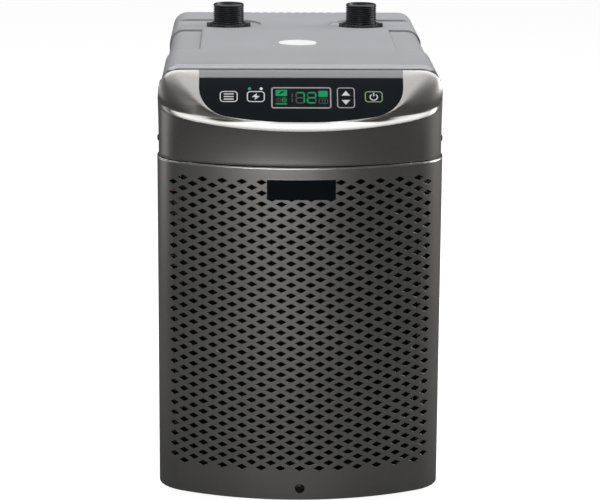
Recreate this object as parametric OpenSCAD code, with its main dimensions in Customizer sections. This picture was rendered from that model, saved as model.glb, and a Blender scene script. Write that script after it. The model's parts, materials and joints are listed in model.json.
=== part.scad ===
/* [Case] */
// Width of the front shell and of the control head's rim
body_w = 280; // [274:1:288]
// How far the steel side panels stand in from the front shell
side_step = 5; // [4.6:0.2:6]
// Depth from the front of the grille to the rear edges of the side panels
case_d = 455; // [450:1:475]
// Height of the grille shell, up to its seam with the head
shell_h = 333; // [331:1:345]
// Height of the control head and top cover above that seam
head_h = 90; // [88:0.5:94]
// Height of the rubber feet below the shell
foot_h = 8; // [6:0.5:12]
// Radius of the bowed front in plan
bow_r = 247; // [240:1:262]
// Radius of the front corners in plan
corner_r = 43.5; // [41:0.5:46]
// Wall of the moulded front shell
shell_wall = 2.5; // [2:0.1:2.8]
// Thickness of the steel sheets
sheet = 1.5; // [1.2:0.1:1.6]
/* [Grille] */
// Columns of diamond holes
hole_columns = 27; // [21:2:27]
// Holes in the centre column
hole_rows = 28; // [20:1:28]
// Sideways pitch of the columns
hole_pitch_x = 9.5; // [9:0.1:9.6]
// Upward pitch of the holes in a column
hole_pitch_z = 10.6; // [10:0.1:10.8]
// Width of a hole
hole_w = 11.3; // [9:0.1:11.6]
// Height of a hole
hole_h = 5.6; // [4:0.1:6.2]
/* [Control head] */
// How far the rim stands out in front of the grille
rim_out = 3; // [2.6:0.2:4]
// Drop from the foot of the sloping face to the rim's lower edge
rim_drop = 3.5; // [3.5:0.1:4.5]
// Angle of the control face from level
face_angle = 48; // [46:0.5:49]
// Width of the black control panel
panel_w = 196; // [192:1:198]
// Thickness of the control panel
panel_t = 1.6; // [1.2:0.1:1.8]
// Width of a square key's cap
key_w = 17.4; // [15:0.2:17.8]
// Depth of a square key's cap, along the slope
key_l = 12.6; // [10:0.2:13]
// Inward travel of a key
key_travel = 0.7; // [0.4:0.1:0.8]
/* [Ports] */
// Outer diameter of the water ports, a one-inch pipe thread
port_d = 33.25; // [30:0.25:34]
// Bore of the water ports
port_bore = 25.6; // [20:0.2:26]
// Spacing of the two ports
port_gap = 144; // [140:1:148]
// Distance of the port axes from the rear edges of the side panels
port_back = 105; // [103:1:109]
// Height of the port rims above the cover
port_rise = 23.4; // [20:0.2:30]
/* [Cooling] */
// Diameter of the fan across its blades
fan_d = 188; // [170:1:190]
// Blades on the fan
fan_blades = 7; // [5:1:9]
// Height of the fan's axis above the shell's bottom edge
fan_z = 170; // [150:1:180]
// Fins on the condenser
fin_count = 32; // [24:1:36]
// Outer diameter of the compressor's can
comp_d = 120; // [110:1:122]
// Height of the compressor's can
comp_h = 148; // [130:1:155]
// Outer diameter of the water vessel
vessel_d = 94; // [88:1:96]
/* [Hidden] */
$fn = 64;
// One overrun for every cut that has to pass a face
over = 1;
// Clearance between pieces that are fastened together
gap = 0.3;
// Vanishing thickness of a slab that only carries an outline
film = 0.01;

// Plan outline
front_steps = 14;
corner_steps = 6;
shell_lap = 14;
case_w = body_w - 2 * side_step;
corner_y = bow_r - sqrt(pow(bow_r - corner_r, 2) - pow(body_w / 2 - corner_r, 2));
shell_back = corner_y + shell_lap;
inner_half = case_w / 2 - sheet;
port_y = case_d - port_back;
// Middle of the whole depth, which is the origin's place
home_y = rim_out - (case_d + rim_out) / 2;

// Base pan
pan_lift = 1;
pan_h = 23;
pan_half = inner_half - gap;
pan_front = shell_wall + gap;
pan_inset = body_w / 2 - pan_half;
floor_z = pan_lift + sheet;

// Feet
foot_r = 14;
foot_taper = 1.5;
foot_side = 29.2;
foot_x = pan_half - foot_side;
foot_inset = 62;
foot_well_r = 5;
foot_well = 5;
foot_screw_r = 2;
foot_head_r = 4.4;
foot_head = 2.6;
foot_nut_r = 4;
foot_nut = 3;

// Grille
hole_drop = 14.4;
lip_t = 2.3;
tab_side = 33;
tab_x = body_w / 2 - tab_side;
tab_w = 3;
tab_t = 0.8;
tab_rise = 2.2;
tab_inset = 1.7;
grille_screw_z = 12;
screw_r = 1.9;
screw_head_r = 4.7;
screw_head = 2.2;
screw_l = 9;
plate_w = 66;
plate_h = 19.5;
plate_t = 1;
plate_drop = 11.5;

// Filter
filter_y = 42;
filter_side = 17.5;
filter_clear = 12.3;
// Half width inside the bowed shell at the filter's front face
filter_room = bow_half(filter_y - shell_wall, bow_r - shell_wall, corner_r - shell_wall,
  body_w / 2 - shell_wall);
// The frame keeps clear of the side panels and of the bow, whichever is nearer
filter_half = min(inner_half - filter_side, filter_room - filter_clear);
filter_low = 14;
shroud_drop = 7;
shroud_top = shell_h - shroud_drop;
filter_rim = 5;
filter_t = 8;
filter_bar = 4;
filter_bar_t = 3;
filter_bars = 4;
filter_bar_first = 36;
filter_bar_drop = 26;
filter_bar_pitch = (shroud_top - filter_bar_drop) / filter_bars;
filter_post_x = 66;
pad_t = 1.2;

// Head
seam_gap = 1.2;
head_lap = 10;
head_back = shell_back + head_lap;
head_wall = 3;
skirt_in = 1.5;
rim_r = 262;
rim_corner = 60;
rim_in = 0.5;
rim_rise_share = 0.27;
rim_t = 4.2;
crown_y = 5;
crown_side_in = 1;
cheek_h = 71;
cheek_low = 51;
cover_front = 50;
cover_dip = 3.5;
edge_r = 16;
face_y = 6;
face_lead = 0.8;
cover_low = shell_h + cheek_h;
cover_z = shell_h + head_h;
// The face's slope just clears the front edge of the cover
face_z = cover_z - cover_dip + face_lead - (cover_front - gap - face_y) * tan(face_angle);
rim_z = face_z - rim_drop;

// Control panel, measured up its own slope
panel_foot = 5.2;
panel_head = 55.5;
panel_bow = 385;
panel_corner = 34;
panel_lip = 7;
face_margin = 2.4;
key_gap = 0.4;
key_flange = 1;
key_flange_t = 1;
key_drop = gap;
key_stem_r = 2.4;
key_proud = 0.2;
menu_x = -69.6;
boost_x = -43.6;
arrows_x = 42.8;
power_x = 69.6;
keys_v = 34.2;
arrow_cap_l = 11;
arrow_v = arrow_cap_l / 2 + key_gap;
arrows_mid_v = 33;
window_w = 58;
window_l = 24.2;
window_v = 33;
window_t = 1.6;
light_r = 1.5;
light_gap = 0.2;
lights_v = 43.3;
light_left_x = -49.7;
light_right_x = -38.5;
board_top = -10.4;
board_t = 1.6;
board_w = 164;
board_low_v = 16;
board_high_v = 48;
module_w = 54;
module_l = 20;
switch_w = 6;
switch_h = 3.4;
plunger_r = 1.6;
plunger = 0.6;
stop_gap = 0.1;
key_under = -panel_t - key_drop - key_flange_t;
key_stem = key_under - board_top - switch_h - plunger - key_travel - stop_gap;
post_r = 2.5;
post_low_x = 74;
post_high_x = 94.2;

// Cover
cover_wall = 3;
dish_r = 35;
dish_back = 10;
dish_deep = 2;
dish_pad = 1.2;
channel_front = 13;
channel_back = dish_r + dish_back;
port_clear = 0.4;
disc_lead = 142;
disc_y = port_y - disc_lead;
disc_r = 19.6;
disc_t = 1.6;
disc_seat = 0.6;
slot_w = 4;
slot_pitch = 9;
notch_count = 11;
notch_h = 9;

// Hand grips
grip_lead = 39;
grip_trim = 32.4;
grip_back = port_y - grip_lead;
grip_front = (grip_back + head_back) / 2 - grip_trim;
grip_w = 35;
grip_in_x = case_w / 2 - grip_w;
grip_sink = 2;
grip_wall = 3;
grip_under = 3;
grip_low = shell_h - grip_under;
pocket_up = 19;
pocket_low = shell_h + pocket_up;
pocket_h = 32;
pocket_rise = 8;
pocket_end = 26;
pocket_front = grip_front + pocket_end;
pocket_l = grip_back - grip_front - 2 * pocket_end;
pocket_deep = 26;
pocket_lip = 8;

// Side and rear panels
panel_lead = 4;
side_front = corner_y - panel_lead;
flange_w = 12;
rear_inset = 4.5;
rear_face = case_d - rear_inset;
louvre_count = 12;
louvre_lead = 129;
louvre_y = case_d - louvre_lead;
louvre_low = 60;
louvre_h = 110;
rear_slots = 15;
rear_slot_drop = 142;
rear_slot_low = cover_low - rear_slot_drop;
rear_slot_h = 108;
low_slots = 15;
low_slot_low = 96;
slot_bridge = 58;
low_slot_h = rear_slot_low - low_slot_low - slot_bridge;
side_screw_in = 6.2;
side_screw_y = side_front + side_screw_in;
side_screw_up = 17;
side_screw_z = shell_h + side_screw_up;
head_screw_r = 3.1;
head_screw = 1.5;
panel_screw_r = 3.4;
panel_screw = 1.8;
panel_screw_l = 5;
panel_pin_r = 1.7;

// Ports
port_r = port_d / 2;
flange_r = 23.4;
port_flange = 3;
gasket_t = 1.6;
ring_r = 20.6;
ring_h = 4.2;
ring_lug_r = 24;
ring_lug_w = 7;
ring_lugs = 4;
cover_under = cover_z - dish_deep - cover_wall + dish_pad;
flange_top = cover_under - gasket_t;
neck_r = 20.2;
neck_drop = 25;
neck_top = cover_under - neck_drop;
neck_clear = 0.15;
stub_deep = 16;
stub_low = neck_top - stub_deep;
chamfer = 1.4;
// Below its thread the port is turned down a little
thread_relief = 0.3;
thread_low = cover_z - dish_deep + ring_h + 2 * gap;

// Water vessel
vessel_wall = 3;
vessel_drop = 15;
vessel_z = shell_h - vessel_drop;
cap_t = 6;
cap_out = 3;
cap_r = vessel_d / 2 + cap_out;
// The vessel ends midway between its necks and the side panels, less a trim
vessel_trim = 4.8;
vessel_half = (port_gap / 2 + neck_r + inner_half - cap_t) / 2 - vessel_trim;
jacket_t = 9;
jacket_end = 5;
jacket_half = vessel_half - jacket_end;
coil_r = 31;
coil_tube_r = 4;
coil_turns = 10;
coil_pitch = 14;
coil_steps = 16;
coil_exit = 3;
saddle_rise = 16;
shelf_z = vessel_z - vessel_d / 2 - jacket_t - saddle_rise;
shelf_lead = 54;
shelf_front = port_y - shelf_lead;
shelf_drop = 14;
shelf_notch_w = 20;
shelf_notch_l = 106;
saddle_x = 48;
saddle_w = 20;
saddle_half = 42;
sensor_r = 3;
sensor_head_r = 6;
sensor_head = 6;
sensor_drop = 9;

// Condenser
fin_t = 0.8;
fin_in = 10;
fin_half = filter_half - fin_in;
fin_front = 56;
fin_back = 82;
fin_low = 30;
fin_drop = 14;
fin_top = shroud_top - fin_drop;
tube_r = 4.75;
tube_y = 69;
tube_passes = 10;
tube_first = 45;
tube_drop = 15;
tube_pitch = (fin_top - tube_drop - tube_first) / (tube_passes - 1);
tube_clear = 0.1;
hot_z = tube_first + (tube_passes - 1) * tube_pitch;
bracket_out = 3;
bracket_x = fin_half + bracket_out;
bracket_front = filter_y + filter_t + gap;

// Fan
shroud_y = 88;
shroud_ring = 18;
shroud_ring_t = 2;
fan_clear = 4;
shroud_flange = 15;
gate_w = 18;
gate_h = 14;
fan_y = 93;
fan_l = 20;
hub_r = 24;
blade_t = 2;
blade_chord = 38;
blade_tilt = 27;
shaft_r = 4;
shaft_clear = 0.05;
shaft_front = 91;
shaft_back = 146;
motor_r = 34;
motor_front = 121;
motor_l = 42;
boss_r = 9;
boss_l = 4;
bracket_y = 131;
bracket_l = 8;
bracket_ring = 4;
arm_w = 8;
arm_step = 1;
arm_out = 112;
arm_in = 104;
leg_front = shroud_y + sheet + gap / 3;

// Compressor
comp_y = 236;
comp_x = 10;
comp_lift = 19;
comp_plate_w = 150;
comp_plate_l = 96;
comp_plate_t = 3;
comp_wall_step = 2.4;
comp_seam = 4;
stud_x = 64;
stud_y = 37;
stud_r = 3;
stud_h = 27;
stud_nut_r = 5.4;
stud_nut = 4.4;
grommet_r = 9.5;
grommet_neck_r = 6.6;
grommet_up = 4.5;
term_w = 46;
term_h = 52;
term_d = 20;
term_z = 70;
dome_steps = 8;

// Refrigerant lines, drier and wiring
line_r = 3.2;
thin_line_r = 2;
line_sides = 8;
bend_steps = 4;
bend_r = 14;
drier_r = 11;
drier_l = 74;
drier_cone = 12;
drier_side = 33.5;
drier_x = drier_side - inner_half;
drier_y = 232;
drier_z = 130;
lead_r = 2.6;
stub_out = 36;
stub_r = 5;
stub_up = 74;
stub_top = comp_lift + comp_h / 2 + stub_up;
line_side = 7;
left_run = line_side - inner_half;
suction_dip = 2.5;
suction_z = (stub_top + shelf_z) / 2 - suction_dip;
coil_end_x = -vessel_half - cap_t - coil_exit;
bend_end_x = -bracket_x - sheet - tube_pitch / 2;
discharge_path = [[comp_x, comp_y - stub_out, stub_top + gap],
  [comp_x, comp_y - stub_out, stub_top + 2 * bend_r],
  [-comp_d / 2, fan_y + comp_d / 2, shelf_z - 2 * bend_r], [left_run, fan_y + comp_d / 2, shelf_z],
  [left_run, shroud_y + bend_r, hot_z], [left_run, tube_y, hot_z], [bend_end_x + gap, tube_y, hot_z]];
liquid_path = [[bend_end_x + gap, tube_y, tube_first], [left_run, tube_y, tube_first],
  [left_run, shroud_y + comp_d / 2, tube_first], [drier_x, drier_y, tube_first],
  [drier_x, drier_y, drier_z - drier_l / 2 - gap]];
capillary_path = [[drier_x, drier_y, drier_z + drier_l / 2 + gap],
  [drier_x, drier_y, drier_z + drier_l / 2 + 2 * bend_r], [left_run, drier_y + 2 * bend_r, shelf_z - bend_r],
  [left_run, port_y, shelf_z + 2 * bend_r], [left_run, port_y, vessel_z],
  [coil_end_x - gap, port_y, vessel_z]];
suction_path = [[coil_end_x - gap, port_y + coil_r, vessel_z], [left_run, port_y + coil_r, vessel_z],
  [left_run, port_y + coil_r - bend_r, shelf_z], [left_run, port_y - bend_r, suction_z],
  [comp_x, comp_y + stub_out, suction_z], [comp_x, comp_y + stub_out, stub_top + gap]];

// Mains inlet and power board
inlet_side = 49.5;
inlet_x = inlet_side - inner_half;
inlet_z = 62;
inlet_w = 27.4;
inlet_h = 19.8;
inlet_deep = 24;
inlet_flange_w = 50;
inlet_flange_h = 24;
inlet_flange = 2.4;
inlet_hole = 20;
socket_w = 24;
socket_h = 16.4;
socket_deep = 19;
pin_w = 2;
pin_h = 4;
pin_l = 12.4;
pin_root = 4;
pin_side = 7;
pin_up = 2;
power_side = 21.5;
power_w = 92;
power_x0 = inner_half - power_side - power_w;
// Room between the compressor and the rear panel, which the board shares
power_room = rear_face - comp_y - comp_d / 2 - comp_wall_step;
power_spare = 40;
power_l = (power_room + power_spare) / 2;
power_trim = 8.4;
power_y0 = rear_face - (power_room + power_l) / 2 - power_trim;
power_lift = 12;
power_post_r = 3;
power_post_in = 7;
power_t = 1.6;
terminal_lead_share = 7 / 8;
terminal_l_share = 1 / 10;

// Lead from the control board, down the right side and back to the supply board
lead_side = 11.5;
lead_z = 60;
lead_low = 33;
lead_drop = 21;
lead_x = board_w / 2 - board_low_v;
power_lead_y = power_y0 + power_l * (terminal_lead_share + terminal_l_share / 2);
power_lead_z = floor_z + power_lift + power_t + power_l / 8 + 3 * gap;
lead_path = [face_point(lead_x, 2 * board_low_v, board_top - board_t - gap - film),
  face_point(lead_x, 2 * board_low_v, board_top - board_t - lead_drop),
  [lead_x + pocket_deep, fan_y + lead_side, shell_h + pocket_up],
  [inner_half - lead_side, motor_front + lead_side, shell_h - lead_low],
  [inner_half - lead_side, comp_y - comp_d / 2 + comp_wall_step, lead_z],
  [inner_half - lead_side - bracket_ring, power_y0 + lead_side, lead_z],
  [power_x0 + power_w / 2, power_lead_y, lead_z], [power_x0 + power_w / 2, power_lead_y, power_lead_z]];

// Y of the centre of the round corner of a bowed outline whose front is at zero
function bow_corner_y(r, corner, half) = r - sqrt(pow(r - corner, 2) - pow(half - corner, 2));

// Angle at which the front arc of a bowed outline meets its round corner
function bow_turn(r, corner, half) = asin((half - corner) / (r - corner));

// Bowed outline: a front arc, two round corners, and straight sides back to a square back
function bow_outline(r, corner, half, back) =
  let (turn = bow_turn(r, corner, half), cy = bow_corner_y(r, corner, half),
    right = concat(
      [for (i = [0:front_steps]) let (a = turn * i / front_steps) [r * sin(a), r - r * cos(a)]],
      [for (i = [1:corner_steps]) let (a = turn + (90 - turn) * i / corner_steps)
        [half - corner + corner * sin(a), cy - corner * cos(a)]],
      [[half, back]]))
  concat(right, [for (i = [len(right) - 1:-1:1]) [-right[i][0], right[i][1]]]);

// Y and turn of a bowed outline at a sideways distance from its middle
function bow_y(x, r, corner, half) =
  x <= r * sin(bow_turn(r, corner, half)) ? r - sqrt(r * r - x * x)
    : bow_corner_y(r, corner, half) - sqrt(corner * corner - pow(x - half + corner, 2));
function bow_angle(x, r, corner, half) =
  x <= r * sin(bow_turn(r, corner, half)) ? asin(x / r) : asin((x - half + corner) / corner);

// Half width of a bowed outline at a depth, which undoes bow_y
function bow_half(y, r, corner, half) =
  y <= bow_y(r * sin(bow_turn(r, corner, half)), r, corner, half) ? sqrt(r * r - pow(r - y, 2))
    : half - corner + sqrt(corner * corner - pow(min(y - bow_corner_y(r, corner, half), 0), 2));

// The same outline moved in by one distance all round, open at its back
module bow_inset(r, corner, half, back, inset) {
  translate([0, inset]) polygon(bow_outline(r - inset, corner - inset, half - inset, back));
}

// Leans a shape up towards the rear, as the rim of the head does
module leaned(z) {
  multmatrix([[1, 0, 0, 0], [0, 1, 0, 0], [0, rim_rise_share, 1, z + rim_out * rim_rise_share],
    [0, 0, 0, 1]]) children();
}

// Section of the rear case, seen from the front: straight sides and round top edges
module case_section(inset, low, drop) {
  r = edge_r - inset;
  half = case_w / 2 - inset;
  polygon(concat([[-half, low]],
    [for (i = [0:corner_steps]) let (a = 180 - 90 * i / corner_steps)
      [-half + r + r * cos(a), cover_z - inset - drop - r + r * sin(a)]],
    [for (i = [0:corner_steps]) let (a = 90 - 90 * i / corner_steps)
      [half - r + r * cos(a), cover_z - inset - drop - r + r * sin(a)]],
    [[half, low]]));
}

// Stands a front-view section up and carries it back from y over a length
module carry_back(y, length) {
  translate([0, y + length, 0]) rotate([90, 0, 0]) linear_extrude(length) children();
}

// Moves a shape from the slope of the control face to its place
module on_face() {
  translate([0, face_y, face_z]) rotate([face_angle, 0, 0]) children();
}

// Point across, up the slope and out from the control face
function face_point(x, v, w) =
  [x, face_y + v * cos(face_angle) - w * sin(face_angle), face_z + v * sin(face_angle) + w * cos(face_angle)];

// Left and right copies
module both_sides() {
  children();
  mirror([1, 0, 0]) children();
}

// Puts a piece, measured from the grille's front and bottom edge, into the part's own frame
module at_home() {
  translate([0, home_y, foot_h]) children();
}

// Round-cornered path: each inner point gives way to a short curve
function unit(v) = v / norm(v);
function bend(a, b, c) =
  let (r = min(bend_r, norm(b - a) / 2.2, norm(c - b) / 2.2),
    p = b - unit(b - a) * r, q = b + unit(c - b) * r)
  [for (i = [0:bend_steps]) let (t = i / bend_steps) p * pow(1 - t, 2) + b * 2 * t * (1 - t) + q * t * t];
function rounded_path(points) =
  let (last = len(points) - 1,
    bends = [for (i = [1:last - 1]) each bend(points[i - 1], points[i], points[i + 1])])
  concat([points[0]], bends, [points[last]]);

// Direction of a path at one of its points, and a side vector carried along it without twist
function heading(path, i) =
  unit(path[min(i + 1, len(path) - 1)] - path[max(i - 1, 0)]);
function squared(side, along) = unit(side - along * (side * along));
function sides_along(path, i, side) =
  i == len(path) ? []
    : let (now = squared(side, heading(path, i))) concat([now], sides_along(path, i + 1, now));

// Tube of a radius swept along a path, closed at both ends
module swept_tube(path, r, sides) {
  first = heading(path, 0);
  start = abs(first[2]) > 0.9 ? [1, 0, 0] : [0, 0, 1];
  ups = sides_along(path, 0, start);
  n = len(path);
  points = [for (i = [0:n - 1]) let (h = heading(path, i), u = ups[i], v = cross(h, u))
    for (k = [0:sides - 1]) path[i] + (u * cos(360 * k / sides) + v * sin(360 * k / sides)) * r];
  faces = concat(
    [for (i = [0:n - 2]) for (k = [0:sides - 1]) let (a = i * sides + k, b = i * sides + (k + 1) % sides)
      each [[a, a + sides, b], [b, a + sides, b + sides]]],
    [for (k = [1:sides - 2]) [0, k, k + 1]],
    [for (k = [1:sides - 2]) let (e = (n - 1) * sides) [e, e + k + 1, e + k]]);
  polyhedron(points, faces);
}

// Screw with a round head whose underside is at zero, pointing down
module screw(head_r, head, r, length) {
  cylinder(h = head, r1 = head_r, r2 = head_r * 0.8);
  translate([0, 0, -length]) cylinder(h = length, r = r);
}

module base_pan() color("dimgray") at_home() difference() {
  union() {
    translate([0, 0, pan_lift]) linear_extrude(sheet) pan_outline(0);
    translate([0, 0, pan_lift]) linear_extrude(pan_h) difference() {
      pan_outline(0);
      pan_outline(sheet);
    }
  }
  translate([0, 0, grille_screw_z]) rotate([90, 0, 0])
    cylinder(h = 4 * pan_front + 4 * over, r = screw_r + gap / 2, center = true);
  for (x = [-foot_x, foot_x]) for (y = [foot_inset, case_d - foot_inset])
    translate([x, y, 0]) cylinder(h = floor_z + over, r = foot_screw_r + gap / 2);
  side_screw_holes();
}

module pan_outline(inset) {
  back = rear_face - 2 * sheet - 2 * gap;
  translate([0, pan_front + inset])
    polygon(bow_outline(bow_r - pan_front - inset, corner_r - pan_inset - inset, pan_half - inset,
      back - pan_front - 2 * inset));
}

module rubber_feet() color("black") at_home()
  for (x = [-foot_x, foot_x]) for (y = [foot_inset, case_d - foot_inset]) translate([x, y, -foot_h])
    difference() {
      cylinder(h = foot_h + pan_lift, r1 = foot_r - foot_taper, r2 = foot_r);
      translate([0, 0, -over]) cylinder(h = foot_h + pan_lift + 2 * over, r = foot_screw_r + gap / 2);
      translate([0, 0, -over]) cylinder(h = foot_well + over, r = foot_well_r);
    }

module foot_screws() color("silver") at_home()
  for (x = [-foot_x, foot_x]) for (y = [foot_inset, case_d - foot_inset]) {
    translate([x, y, foot_well - foot_h]) mirror([0, 0, 1])
      screw(foot_head_r, foot_head, foot_screw_r, foot_h + floor_z - foot_well + foot_nut);
    translate([x, y, floor_z]) cylinder(h = foot_nut, r = foot_nut_r, $fn = 6);
  }

module front_grille() color("#3c4043") at_home() difference() {
  union() {
    linear_extrude(shell_h) difference() {
      polygon(bow_outline(bow_r, corner_r, body_w / 2, shell_back));
      bow_inset(bow_r, corner_r, body_w / 2, shell_back + over, shell_wall);
    }
    both_sides() translate([case_w / 2 + gap, shell_back - lip_t, 0])
      cube([side_step - gap, lip_t, shell_h]);
    both_sides() at_tab() translate([-tab_w / 2, tab_inset - tab_t / 2, -tab_rise])
      cube([tab_w, tab_t, 2 * tab_rise]);
  }
  for (i = [0:hole_columns - 1]) grille_column(i - (hole_columns - 1) / 2);
  translate([0, 0, grille_screw_z]) rotate([90, 0, 0])
    cylinder(h = 4 * shell_wall + 4 * over, r = screw_r + gap, center = true);
}

// Place of the right clip tab in the seam between the grille and the head
module at_tab() {
  translate([tab_x, bow_y(tab_x, bow_r, corner_r, body_w / 2), shell_h])
    rotate([0, 0, bow_angle(tab_x, bow_r, corner_r, body_w / 2)]) children();
}

// One column of diamonds, cut square to the wall; every second column is dropped half a pitch
module grille_column(column) {
  x = abs(column * hole_pitch_x);
  odd = abs(column) % 2;
  translate([sign(column) * x, bow_y(x, bow_r, corner_r, body_w / 2), 0])
    rotate([0, 0, sign(column) * bow_angle(x, bow_r, corner_r, body_w / 2)])
      for (j = [0:hole_rows - 1 - odd])
        translate([0, 2 * shell_wall, shell_h - hole_drop - hole_pitch_z * (j + odd / 2)])
          rotate([90, 0, 0]) linear_extrude(3 * shell_wall)
            polygon([[-hole_w / 2, 0], [0, -hole_h / 2], [hole_w / 2, 0], [0, hole_h / 2]]);
}

module grille_screw() color("black") at_home()
  translate([0, 0, grille_screw_z]) rotate([90, 0, 0]) screw(screw_head_r, screw_head, screw_r, screw_l);

// Bare plate, bent to the bow of the grille
module name_plate() color("black") at_home()
  translate([0, 0, shell_h - plate_drop - plate_h]) linear_extrude(plate_h) intersection() {
    difference() {
      bow_inset(bow_r, corner_r, body_w / 2, shell_back, -plate_t);
      polygon(bow_outline(bow_r, corner_r, body_w / 2, shell_back + over));
    }
    translate([-plate_w / 2, -plate_t - over]) square([plate_w, plate_t + over + plate_w / 2]);
  }

module filter_frame() color("#2b2d2f") at_home() {
  top = shroud_top - filter_low;
  carry_back(filter_y, filter_t) difference() {
    translate([-filter_half, filter_low]) square([2 * filter_half, top]);
    translate([filter_rim - filter_half, filter_low + filter_rim])
      square([2 * (filter_half - filter_rim), top - 2 * filter_rim]);
  }
  carry_back(filter_y, filter_bar_t) {
    for (i = [0:filter_bars - 1])
      translate([-filter_half, filter_bar_first + i * filter_bar_pitch - filter_bar / 2])
        square([2 * filter_half, filter_bar]);
    for (x = [-filter_post_x, 0, filter_post_x])
      translate([x - filter_bar / 2, filter_low]) square([filter_bar, top]);
  }
}

module filter_pad() color("#1d1f21") at_home()
  let (rim = filter_rim + gap) translate([rim - filter_half, filter_y + filter_bar_t + gap, filter_low + rim])
    cube([2 * (filter_half - rim), pad_t, shroud_top - filter_low - 2 * rim]);

// Black panel's outline, up its slope, moved in by a distance
module panel_outline(inset) {
  translate([0, panel_foot + inset])
    polygon(bow_outline(panel_bow - inset, panel_corner - inset, panel_w / 2 - inset,
      panel_head - panel_foot - 2 * inset));
}

// Convex crown of the head: its rim, the flat control face, the shoulder and the side cheeks
module head_crown(inset, sink) {
  hull() {
    leaned(rim_z - sink) translate([0, crown_y + inset, 0]) linear_extrude(sink + film)
      polygon(bow_outline(rim_r, rim_corner, body_w / 2 - rim_in - crown_side_in - inset,
        head_back - crown_y - inset + sink));
    on_face() translate([0, 0, -film - sink]) linear_extrude(film) panel_outline(inset - face_margin);
    carry_back(cover_front - gap - film, film) case_section(inset, cover_low - edge_r, cover_dip);
    translate([inset - case_w / 2 - gap, cover_front - gap - film, cover_low - gap - film])
      cube([case_w + 2 * gap - 2 * inset, head_back + sink - cover_front + gap + film, film]);
  }
}

module control_head() color("#7d7f82") at_home() difference() {
  union() {
    intersection() {
      translate([0, 0, shell_h + seam_gap]) linear_extrude(head_h)
        bow_inset(bow_r, corner_r, body_w / 2, head_back - skirt_in, skirt_in);
      below_rim(film);
    }
    leaned(rim_z) translate([0, -rim_out, 0]) linear_extrude(rim_t)
      polygon(bow_outline(rim_r, rim_corner, body_w / 2 - rim_in, head_back + rim_out));
    head_crown(0, 0);
    head_posts();
  }
  difference() {
    union() {
      intersection() {
        linear_extrude(2 * cover_z)
          bow_inset(bow_r, corner_r, body_w / 2, head_back + over, skirt_in + head_wall);
        below_rim(0);
      }
      head_crown(head_wall, head_wall + panel_t);
    }
    head_posts();
  }
  translate([-body_w, cover_front - gap, cover_low - gap]) cube([2 * body_w, case_d, head_h]);
  on_face() translate([0, 0, -panel_t - gap]) linear_extrude(panel_t + gap + over) panel_outline(-gap);
  on_face() translate([0, 0, -2 * head_wall]) linear_extrude(3 * head_wall) panel_outline(panel_lip);
  both_sides() translate([0, side_screw_y, side_screw_z]) rotate([0, 90, 0])
    cylinder(h = body_w, r = panel_pin_r + gap);
  both_sides() at_tab() translate([-tab_w / 2 - gap, 0, 0])
    cube([tab_w + 2 * gap, tab_inset + tab_t / 2 + gap, tab_rise + gap]);
}

// Everything under the rim's sloping underside
module below_rim(rise) {
  leaned(rim_z + rise) translate([-body_w, -body_w, -2 * head_h]) cube([2 * body_w, 2 * case_d, 2 * head_h]);
}

// Posts under the control face's lip, which carry the board
function board_posts() = [[-post_low_x, board_low_v], [post_low_x, board_low_v],
  [-post_high_x, board_high_v], [post_high_x, board_high_v]];
module head_posts() {
  for (p = board_posts()) on_face() translate([p[0], p[1], board_top])
    cylinder(h = -panel_t - gap - film - board_top, r = post_r);
}

module head_screws() color("black") at_home()
  both_sides() translate([body_w / 2 - skirt_in, side_screw_y, side_screw_z]) rotate([0, 90, 0])
    screw(head_screw_r, head_screw, panel_pin_r, panel_screw_l);

// Opening in the panel for a key, with its gap
module key_hole(x, v, w, l) {
  translate([x - w / 2 - key_gap, v - l / 2 - key_gap, -panel_t - over])
    cube([w + 2 * key_gap, l + 2 * key_gap, panel_t + 2 * over]);
}

module control_panel() color("#1c2024") at_home() on_face() difference() {
  translate([0, 0, -panel_t]) linear_extrude(panel_t) panel_outline(0);
  for (x = [menu_x, boost_x, power_x]) key_hole(x, keys_v, key_w, key_l);
  for (s = [-1, 1]) key_hole(arrows_x, arrows_mid_v + s * arrow_v, key_w, arrow_cap_l);
  translate([-window_w / 2 - gap, window_v - window_l / 2 - gap, -panel_t - over])
    cube([window_w + 2 * gap, window_l + 2 * gap, panel_t + 2 * over]);
  for (x = [light_left_x, light_right_x]) translate([x, lights_v, -panel_t - over])
    cylinder(h = panel_t + 2 * over, r = light_r + light_gap);
}

// A key: its cap, the flange that holds it behind the panel, and the stem to its switch
module key(x, v, w, l) {
  on_face() translate([x, v, 0]) {
    translate([-w / 2, -l / 2, key_under]) cube([w, l, key_proud - key_under]);
    translate([-w / 2 - key_flange, -l / 2, key_under]) cube([w + 2 * key_flange, l, key_flange_t]);
    translate([0, 0, key_under - key_stem]) cylinder(h = key_stem + film, r = key_stem_r);
  }
}

module key_menu() color("#23272b") at_home() key(menu_x, keys_v, key_w, key_l);
module key_boost() color("#23272b") at_home() key(boost_x, keys_v, key_w, key_l);
module key_up() color("#23272b") at_home() key(arrows_x, arrows_mid_v + arrow_v, key_w, arrow_cap_l);
module key_down() color("#23272b") at_home() key(arrows_x, arrows_mid_v - arrow_v, key_w, arrow_cap_l);
module key_power() color("#23272b") at_home() key(power_x, keys_v, key_w, key_l);

module status_lights() color("mediumseagreen") at_home() on_face()
  for (x = [light_left_x, light_right_x]) translate([x, lights_v, board_top])
    cylinder(h = -board_top, r = light_r);

module display_window() color("#15181a") at_home() on_face()
  translate([-window_w / 2, window_v - window_l / 2, -window_t]) cube([window_w, window_l, window_t]);

module display_module() color("black") at_home() on_face()
  translate([-module_w / 2, window_v - module_l / 2, board_top])
    cube([module_w, module_l, -window_t - gap - board_top]);

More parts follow.
